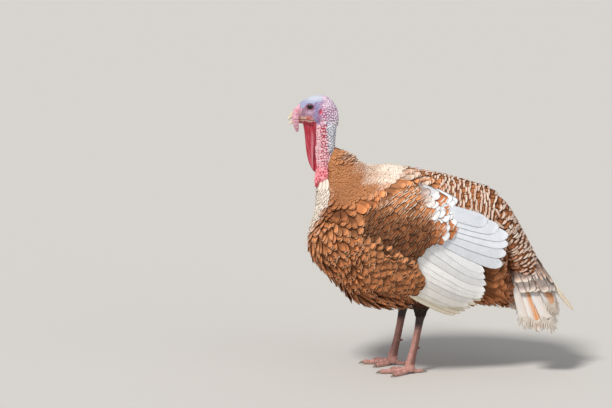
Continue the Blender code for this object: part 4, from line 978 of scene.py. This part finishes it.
def growHead():
    snoodPath = smoothRows(head["snood"], np.linspace(0, 7, 60))
    knob = 1 + 0.05 * np.sin(np.linspace(0, 60, 60))
    p, quads = fuse([loftSurface(head["skull"], 150, 150), loftSurface(head["neck"], 150, 130),
                     wattleSurface(), tubeSurface(snoodPath[:, :3], snoodPath[:, 3] * knob, 40)] + bulbs(),
                    head["grain"])
    p = relax(p, quads, 6)
    out = faceOut(p, quads)
    x, y, z = p.T
    # socket and lids: an oval round the eye sinks under the ball, with a soft rim and a fold above and below
    ex, ey, ez = head["eye"]
    lx, lz = head["lid"]
    q = np.hypot((x - ex) / lx, (z - ez) / lz * (1 + 0.06 * (x - ex) / lx))
    rim = ey + np.sqrt(np.maximum(head["eyeRadius"] ** 2 - (x - ex) ** 2 - (z - ez) ** 2, 0)) + 0.9
    wanted = np.abs(y) + np.where(q < 1, 0, bell(q, 1.12, 0.16)) * np.maximum(rim - np.abs(y), 0)
    wanted = wanted + 0.7 * bell(q, 1.75, 0.16) - 0.5 * bell(q, 1.45, 0.12)
    wanted = np.where(q < 1.0, wanted - (1 - ease(q, 0.82, 1.0)) * 7.5, wanted)
    near = (np.abs(y) > 8) & (x < -335) & (x > -372) & (q < 2.4)
    y = np.where(near, np.sign(y) * wanted, y)
    # mouth line, nostril, ear and brow
    onHead = (x < -322) & (z > 715)
    (earX, earZ), (noseX, noseZ) = head["ear"], head["nostril"]
    lip = z - head["mouth"] + 0.06 * (x + 370)
    gape = bell(lip, 0, 1.1) * ease(x, -402, -396) * (1 - ease(x, -346, -336))
    lips = bell(np.abs(lip), 3.0, 1.3) * (1 - ease(x, -350, -338))
    nose = bell(x, noseX, 4.2) * bell(z, noseZ, 1.6)
    earHole = bell(x, earX, 4.2) * bell(z, earZ, 6.2)
    earRim = bell(np.hypot((x - earX) / 6.4, (z - earZ) / 8.6), 1, 0.22)
    brow = bell(x, -352, 15) * bell(z, 791.5, 3.4)
    push = np.where(onHead, -2.0 * gape + 0.6 * lips - 1.6 * nose + 0.9 * brow, 0)
    push = push + np.where(np.abs(y) > 10, -2.4 * earHole + 0.9 * earRim, 0)
    p = np.stack([x, y, z], -1) + out * push[:, None]
    out = faceOut(p, quads)
    x, y, z = p.T
    toSnood, alongSnood = nearestPath(p, snoodPath[:, :3])
    onSnood = (toSnood < smoothRows(head["snood"], alongSnood * 7)[:, 3] + 1.6) & ((z < 776) | (x < -382))
    wx, wz = x + 3.0 * ripple(p, 15, 1), z + 3.0 * ripple(p, 15, 2)  # borders wander by a few mm
    onWattle = (wz < 736) & (z > 583) & (x < -335.5 + 1.2 * ripple(p, 22, 3)) & ~onSnood
    smooth = np.maximum(ease(wx, -318, -327) * ease(wz, 722, 738), ease(wx, -312, -320) * ease(wz, 786, 793))
    # white-tipped bumps over nape, cheek and neck, with larger red ones towards the foot
    bumpy = (1 - smooth) * (1 - onWattle) * (1 - onSnood)
    warped = p + 1.1 * np.stack([ripple(p, 9, seed) for seed in (4, 5, 6)], -1)
    high = ease(z + 6 * ripple(p, 30, 7), 722, 738)
    low = 1 - ease(z + 5 * ripple(p, 30, 8), 592, 622)
    pearl, draw = np.zeros(len(p)), np.zeros(len(p))
    for share, area, spacing in ((high, z > 700, 5.6), ((1 - high) * (1 - low), (z < 750) & (z > 585), 6.6),
                                 (low, z < 640, 7.4)):
        seeds = evenSeeds(warped[(bumpy > 0.3) & area & (z > 555)], spacing)
        near, gap = nearestSeed(warped, seeds)
        luck = np.random.default_rng(7).random(len(seeds))[near]
        pearl = pearl + share * np.clip(1 - (gap / (spacing * (0.50 + 0.1 * luck))) ** 2, 0, 1)
        draw = draw + share * luck
    tall = (1.1 * high + 1.5 * (1 - high)) * (1 - low) + 2.0 * low
    speck = nearestSeed(p, evenSeeds(p[onSnood], 3.2))[1]
    speckDome = np.clip(1 - (speck / 1.7) ** 2, 0, 1) * onSnood
    fold = bell(x + 340.5 - 0.03 * (z - 660), 0, 1.3) * ease(z, 600, 625) * (1 - ease(z, 716, 732)) * onWattle
    p = p + out * (pearl * bumpy * tall + speckDome * 0.8 - 1.6 * fold)[:, None]

    # colours: bumpy skin, smooth face and crown, lids and openings, then wattle and snood, with painted shade
    # in the mouth line, the nostril and the wattle's fold
    back = ease(wx + 0.10 * (z - 650), -306, -292)
    rise = ease(wz, 715, 755)
    ground = layer((0.40, 0.035, 0.075), ((0.13, 0.15, 0.24), back),
                   ((0.42, 0.15, 0.27), rise * (1 - 0.3 * back)),
                   ((0.52, 0.05, 0.08), low * (1 - 0.3 * back)))
    top = layer((0.74, 0.47, 0.51), ((0.70, 0.72, 0.76), back),
                ((0.72, 0.54, 0.66), rise * (1 - 0.35 * back)))
    top = layer(top * (0.82 + 0.34 * draw)[:, None], ((0.88, 0.30, 0.34), low * 0.95))
    bristle = bell(x, -373, 9.5) * bell(z, 768, 15)
    dots = nearestSeed(p, evenSeeds(p[(bristle > 0.25) & ~onSnood], 3.4))[1]
    mottle = ripple(p, 7, 9)
    face = layer((0.36, 0.18, 0.30), ((0.24, 0.25, 0.46), ease(wx, -346, -335) * 0.85),
                 ((0.50, 0.35, 0.48), ease(mottle, 0.1, 0.8) * 0.6),
                 ((0.20, 0.09, 0.20), ease(-mottle, 0.2, 0.9) * 0.6),
                 ((0.13, 0.03, 0.05), np.clip(bristle * 1.5, 0, 0.9) * ease(dots, 0.9, 1.5)),
                 ((0.70, 0.50, 0.58), np.clip(bristle * 1.2, 0, 0.7) * (1 - ease(dots, 0.6, 1.2))),
                 ((0.62, 0.44, 0.56), bell(x, -354, 12) * bell(z, 764, 5.5) * 0.75),
                 ((0.66, 0.42, 0.32), (1 - ease(wz, 748, 757)) * (1 - ease(wx, -348, -338)) * 0.85),
                 ((0.60, 0.05, 0.06), bell(wx, -358, 8) * bell(wz, 748, 4.5)),
                 (layer((0.31, 0.33, 0.48), ((0.50, 0.53, 0.62), ease(z, 790, 806))),
                  ease(wz - 0.25 * (wx + 340), 784, 793)))
    q = np.hypot((x - ex) / lx, (z - ez) / lz)
    lids = bell(q, 1.2, 0.3) * (np.abs(y) > 12)
    streak = bell(wx, -328, 2.2) * ease(z, 728, 738) * (1 - ease(z, 756, 764))
    skin = layer(ground, (top, ease(pearl, 0.16, 0.52) * bumpy), (face, smooth * (1 - onSnood)),
                 ((0.17, 0.03, 0.07), lids * 0.92),
                 ((0.06, 0.015, 0.03), ease(q, 1.08, 0.96) * (np.abs(y) > 8) * (x < -335)),
                 ((0.55, 0.02, 0.05), np.where(np.abs(y) > 10, np.clip(earHole * 1.5, 0, 1) * 0.9, 0)),
                 ((0.50, 0.06, 0.12), streak * 0.7),
                 # painted shade: dark in the pushed-in mouth line and nostril
                 ((0.16, 0.02, 0.03), np.where(onHead, gape, 0) * 0.9),
                 ((0.10, 0.03, 0.03), np.where(onHead, nose, 0) * 0.85))
    throat = layer((0.40, 0.022, 0.042),
                   ((0.54, 0.085, 0.12), ease(ripple(p * (1, 1, 0.15), 6, 11), -0.4, 1)),
                   # painted shade: dark red in the wattle's fold groove
                   ((0.20, 0.01, 0.03), np.clip(fold * 1.3, 0, 0.85)),
                   ((0.72, 0.34, 0.40), bell(x, -347, 2.6) * (1 - ease(z, 690, 715)) * 0.6))
    snood = layer((0.52, 0.13, 0.20), ((0.84, 0.66, 0.72), ease(speckDome, 0.25, 0.75)))
    skin = np.where(onSnood[:, None], snood, np.where(onWattle[:, None], throat, skin))
    obj = buildMesh("head_skin", p, [quads])
    markPoints(obj, hue=np.clip(skin, 0, 1),
               wet=np.clip(onWattle * 0.6 + low * 0.5 + lids * 0.5 + onSnood * 0.2, 0, 1))
    f = Finish("bare_skin")
    place = f.place()
    fine, cell = f.noise(place, 420, 3), f.cells(place, 900)
    (hue,), (wet,) = f.marks("hue", out="Color"), f.marks("wet")
    f.cover(Base_Color=f.tint(hue, 0.86 + 0.3 * fine), Roughness=0.52 - 0.2 * wet + 0.1 * fine,
            Normal=f.bump(fine * 0.6 + cell, 0.0003, 0.5), Subsurface_Weight=0.12,
            Subsurface_Radius=(0.004, 0.0015, 0.001), Specular_IOR_Level=0.45)
    placePiece(obj, f.material, "bare_skin", "head", "neck_bare", "snood", "wattle", "caruncles")
    print("head skin", len(p), len(quads))


def growBill():
    f = Finish("bill_horn")
    place = f.place()
    grain = f.noise(f.stretch(place, (120, 500, 260)), 1.0, 3)
    colour = f.mix((f.split(place, "X") * -1).step(0.398, 0.418), (0.66, 0.52, 0.36), (0.80, 0.70, 0.52))
    f.cover(Base_Color=f.tint(colour, 0.72 + 0.5 * grain), Roughness=0.34 + 0.2 * grain,
            Normal=f.bump(grain, 0.0003, 0.4), Coat_Weight=0.15)
    for name in ("bill_upper", "bill_lower"):
        obj = buildMesh(name + "_horn", *loftSurface(head[name], 60, 64))
        placePiece(obj, f.material, "horn", name)


def growEyes():
    f = Finish("wet_eye")
    place = f.place()
    ex, ey, ez = head["eye"]
    centred = f.join(f.split(place, "X") + 0.3535, 0.0, f.split(place, "Z") - 0.780)
    reach = f.node("ShaderNodeVectorMath", {"operation": "LENGTH"}, (centred,), "Value")
    colour = f.mix(reach.step(0.0036, 0.0041), (0.004, 0.003, 0.003), (0.045, 0.018, 0.009))
    f.cover(Base_Color=f.mix(reach.step(0.0062, 0.0070), colour, (0.012, 0.007, 0.006)), Roughness=0.08,
            Specular_IOR_Level=0.25, Coat_Weight=0.25, Coat_Roughness=0.03)
    for side, tag in ((-1, "left"), (1, "right")):
        obj = buildMesh("eyeball_" + tag, *ballSurface((ex, side * ey, ez), head["eyeRadius"], 48))
        placePiece(obj, f.material, "eye_dark", "eye_" + tag)


growHead()
growBill()
growEyes()


legs = {
    "hock": {-1: -33.0, 1: -81.0}, "apart": 56.0, "grain": 0.95,
    "thigh": [(22, 262, 46, 36), (10, 226, 37, 30), (3, 200, 26, 22), (0, 184, 17.5, 15),
              (0, 171, 14.5, 12.5)],
    "shank": [(0, 180, 12.5, 11), (0, 170.6, 14, 12), (-2, 158, 12, 10), (-9, 118, 10.5, 8.6),
              (-17, 78, 10.8, 8.8), (-25, 46, 12.4, 10.2), (-28.5, 32, 14, 12), (-29.5, 24, 14.2, 12.3),
              (-30.5, 14, 14.6, 13), (-31.5, 6, 13, 12)],
    # bearing, length, height at the ankle, radius at root and tip
    "toes": {"middle": (4, 86, 17, 8.6, 6.6), "outer": (44, 66, 16, 7.8, 5.8),
             "inner": (-38, 62, 16, 7.8, 5.8),
             "hind": (196, 37, 24, 6.4, 5.2)},
    "spur": (15, -3.0, 2.0), "shankPlate": 6.4, "toePlate": 4.6, "featherPitch": (7.5, 6.0)}


def legChart(rows, hock, side):
    # level ovals: centre x + half depth cos(turn), centre y + half width sin(turn)
    def chart(row, turn):
        r = smoothRows(rows, row)
        return np.stack([r[..., 0] + hock + r[..., 2] * np.cos(turn),
                         side * legs["apart"] + r[..., 3] * np.sin(turn), r[..., 1] + 0 * turn], -1)
    return chart


def toeLine(spec, hock, side):
    # the toe's middle line: straight out at its bearing, falling from the ankle to the floor
    bearing, length, height, root, tip = spec
    ahead = np.array((-math.cos(math.radians(bearing)), side * math.sin(math.radians(bearing)), 0.0))
    share = np.linspace(0, 1, 70)
    radius = (root + (tip - root) * share) * (1 + 0.07 * np.cos(share * 6 * pi))
    line = np.array((hock - 28.5, side * legs["apart"], 0)) + share[:, None] * length * ahead
    line[:, 2] = radius + (height - radius[0]) * (1 - ease(share, 0, 0.42))
    return line, radius


def legFinish():
    f = Finish("leg_scales")
    place = f.place()
    fine, cell = f.noise(place, 500, 3), f.cells(f.stretch(place, (1, 1, 0.75)), 330)
    hue, = f.marks("hue", out="Color")
    return f.cover(Base_Color=f.tint(hue, 0.72 + 0.3 * fine + 0.5 * (1 - cell.step(0.2, 0.75))),
                   Roughness=0.45 + 0.2 * fine, Normal=f.bump(fine * 0.3 - cell, 0.0006, 0.5),
                   Specular_IOR_Level=0.45)


def growLeg(side, scales):
    tag = "left" if side < 0 else "right"
    hock, apart = legs["hock"][side], legs["apart"]
    lines = {toe: toeLine(spec, hock, side) for toe, spec in legs["toes"].items()}
    share = np.linspace(0, 1, 20)
    spurRoot = np.array((hock - 14, side * (apart - 3), 74.0))
    spur = spurRoot + share[:, None] * legs["spur"] * np.array((1, side, 1))
    p, quads = fuse([closeChart(legChart(legs["shank"], hock, side), (0, 9), 150, 90)]
                    + [tubeSurface(line, radius * 0.98, 40) for line, radius in lines.values()]
                    + [tubeSurface(spur, 5.8 * (1 - 0.82 * share ** 1.6), 24)], legs["grain"])
    p = relax(p, quads, 4)
    out = faceOut(p, quads)
    x, y, z = p.T
    front, onShank = ease(-out[:, 0], -0.25, 0.25), ease(z, 24, 32)
    # broad scutes down the front of the shank: each is a step of one pitch with a groove at its lower edge
    edge = (z / legs["shankPlate"]) % 1
    plate = (0.45 + 0.55 * edge) * ease(edge, 0, 0.16)
    height = 0.75 * plate * (1 - 0.5 * bell(y, side * apart, 1.0)) * front * onShank * (1 - ease(z, 160, 172))
    # scute: light on each plate's face and dark in the groove below it, partly the scales' own colour and
    # partly painted highlight and shade
    scute = np.where(onShank > 0.5, plate * front + (1 - front) * 0.6, 1.0)
    best, reach = np.full(len(p), 1e9), np.zeros(len(p))
    for toe, (line, _) in lines.items():
        gap, at = nearestPath(p, line)
        reach = np.where(gap < best, at * legs["toes"][toe][1], reach)
        best = np.minimum(gap, best)
    edge = (reach / legs["toePlate"]) % 1
    plate = (1 - 0.5 * edge) * ease(1 - edge, 0, 0.2)
    upper = ease(out[:, 2], -0.1, 0.35) * (1 - onShank) * (reach > 12)
    scute = np.where((onShank < 0.5) & (upper > 0.3), plate, scute)
    p = p + out * ((height + 0.6 * plate * upper) * (z >= 1.2))[:, None]
    p[:, 2] = np.maximum(p[:, 2], 0.0)
    onSpur = (x > hock + 0.5 - 0.2 * (z - 74)) & (np.abs(z - 76) < 9)
    obj = buildMesh("leg_skin_" + tag, p, [quads])
    markPoints(obj, hue=layer(
        (0.16, 0.065, 0.055), ((0.46, 0.23, 0.195), ease(scute, 0.15, 0.8)),
        # painted shade: the back of the shank is darker brown
        ((0.15, 0.06, 0.045), (1 - front) * onShank * 0.85), ((0.030, 0.016, 0.013), ease(z, 126, 152)),
        ((0.40, 0.30, 0.26), (1 - ease(z, 2, 9)) * 0.5), ((0.30, 0.22, 0.18), onSpur * 0.8)))
    placePiece(obj, scales, "leg_scale", "shank_" + tag, "foot_" + tag)
    # dark close feathers over hock and thigh
    thigh = legChart(legs["thigh"], hock, side)
    bed = buildMesh("thigh_skin_" + tag, *closeChart(thigh, (0, 4), 50, 60, 2.0))
    placePiece(bed, under.material, "plumage", "thigh_" + tag)
    roots = rowRoots(thigh, (0, 3.7), (-pi, pi), lambda q: legs["featherPitch"], (60, 120))
    level = thigh(*roots.T)[:, 2]
    tips = layAlong(thigh, roots, np.interp(level, (175, 200, 260), (13, 20, 30)),
                    dice.normal(0, 0.1, len(roots)))
    tips[:, 0] = np.minimum(tips[:, 0], 4.0)
    obj = growVanes("thigh_feathers_" + tag, thigh, roots, tips, 5.0, -1.5, 1.8, "slim", across=3, thick=0.6)
    ground = layer((0.035, 0.026, 0.020), (darkRust * 0.6, ease(level, 200, 240)))
    paintVanes(obj, ground, ground * 1.5, 0.5, 0.8, 1.5)
    placePiece(obj, plumage, "plumage")
    print("leg", tag, len(p))


scales = legFinish()
for side in (-1, 1):
    growLeg(side, scales)


def dressClaws():
    f = Finish("claw_horn")
    grain = f.noise(f.stretch(f.place(), (90, 260, 260)), 1.0, 3)
    f.cover(Base_Color=f.mix(grain, (0.10, 0.065, 0.045), (0.34, 0.24, 0.17)), Roughness=0.4 + 0.2 * grain,
            Normal=f.bump(grain, 0.0003, 0.4))
    for name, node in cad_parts.items():
        if name.startswith("claw_"):
            node.data.materials.clear()
            node.data.materials.append(f.material)


dressClaws()


studio = {"aim": (-0.365, 0.0, 0.491), "pitch": 11.0, "distance": 12.0, "frameWidth": 1.775,
          "floor": (0.56, 0.54, 0.51), "sky": (0.92, 0.95, 1.0), "skyPower": 0.44,
          # direction to the light, power, spread in degrees, colour
          "suns": {"key_light": ((-0.55, -0.75, 1.2), 3.0, 14, (1.0, 0.97, 0.93)),
                   "fill_light": ((0.9, -0.7, 0.5), 0.5, 50, (0.95, 0.97, 1.0))}}


def setStudio():
    # floor, sky, two soft suns, and a camera that looks down at the aim from the bird's left
    scene = bpy.context.scene
    mesh = bpy.data.meshes.new("floor")
    mesh.from_pydata([(-40, -40, 0), (40, -40, 0), (40, 40, 0), (-40, 40, 0)], [], [(0, 1, 2, 3)])
    floor = bpy.data.objects.new("floor", mesh)
    scene.collection.objects.link(floor)
    mesh.materials.append(Finish("floor_paint").cover(Base_Color=studio["floor"], Roughness=0.9))
    for name, ((x, y, z), power, spread, colour) in studio["suns"].items():
        light = bpy.data.lights.new(name, "SUN")
        light.energy, light.angle, light.color = power, math.radians(spread), colour
        sun = bpy.data.objects.new(name, light)
        scene.collection.objects.link(sun)
        sun.rotation_euler = (math.atan2(math.hypot(x, y), z), 0, math.atan2(x, -y))
    scene.world = bpy.data.worlds.new("soft_room")
    scene.world.use_nodes = True
    sky = next(n for n in scene.world.node_tree.nodes if n.type == "BACKGROUND")
    sky.inputs["Color"].default_value = (*studio["sky"], 1)
    sky.inputs["Strength"].default_value = studio["skyPower"]
    lens = bpy.data.cameras.new("camera")
    lens.sensor_width = 36
    lens.lens = 36 * studio["distance"] / studio["frameWidth"]
    camera = bpy.data.objects.new("camera", lens)
    scene.collection.objects.link(camera)
    dip, (x, y, z) = math.radians(studio["pitch"]), studio["aim"]
    camera.location = (x, y - studio["distance"] * math.cos(dip), z + studio["distance"] * math.sin(dip))
    camera.rotation_euler = (pi / 2 - dip, 0, 0)
    scene.camera = camera
    scene.view_settings.view_transform = "Standard"
    print("studio ready")


setStudio()

bpy.context.view_layer.update()
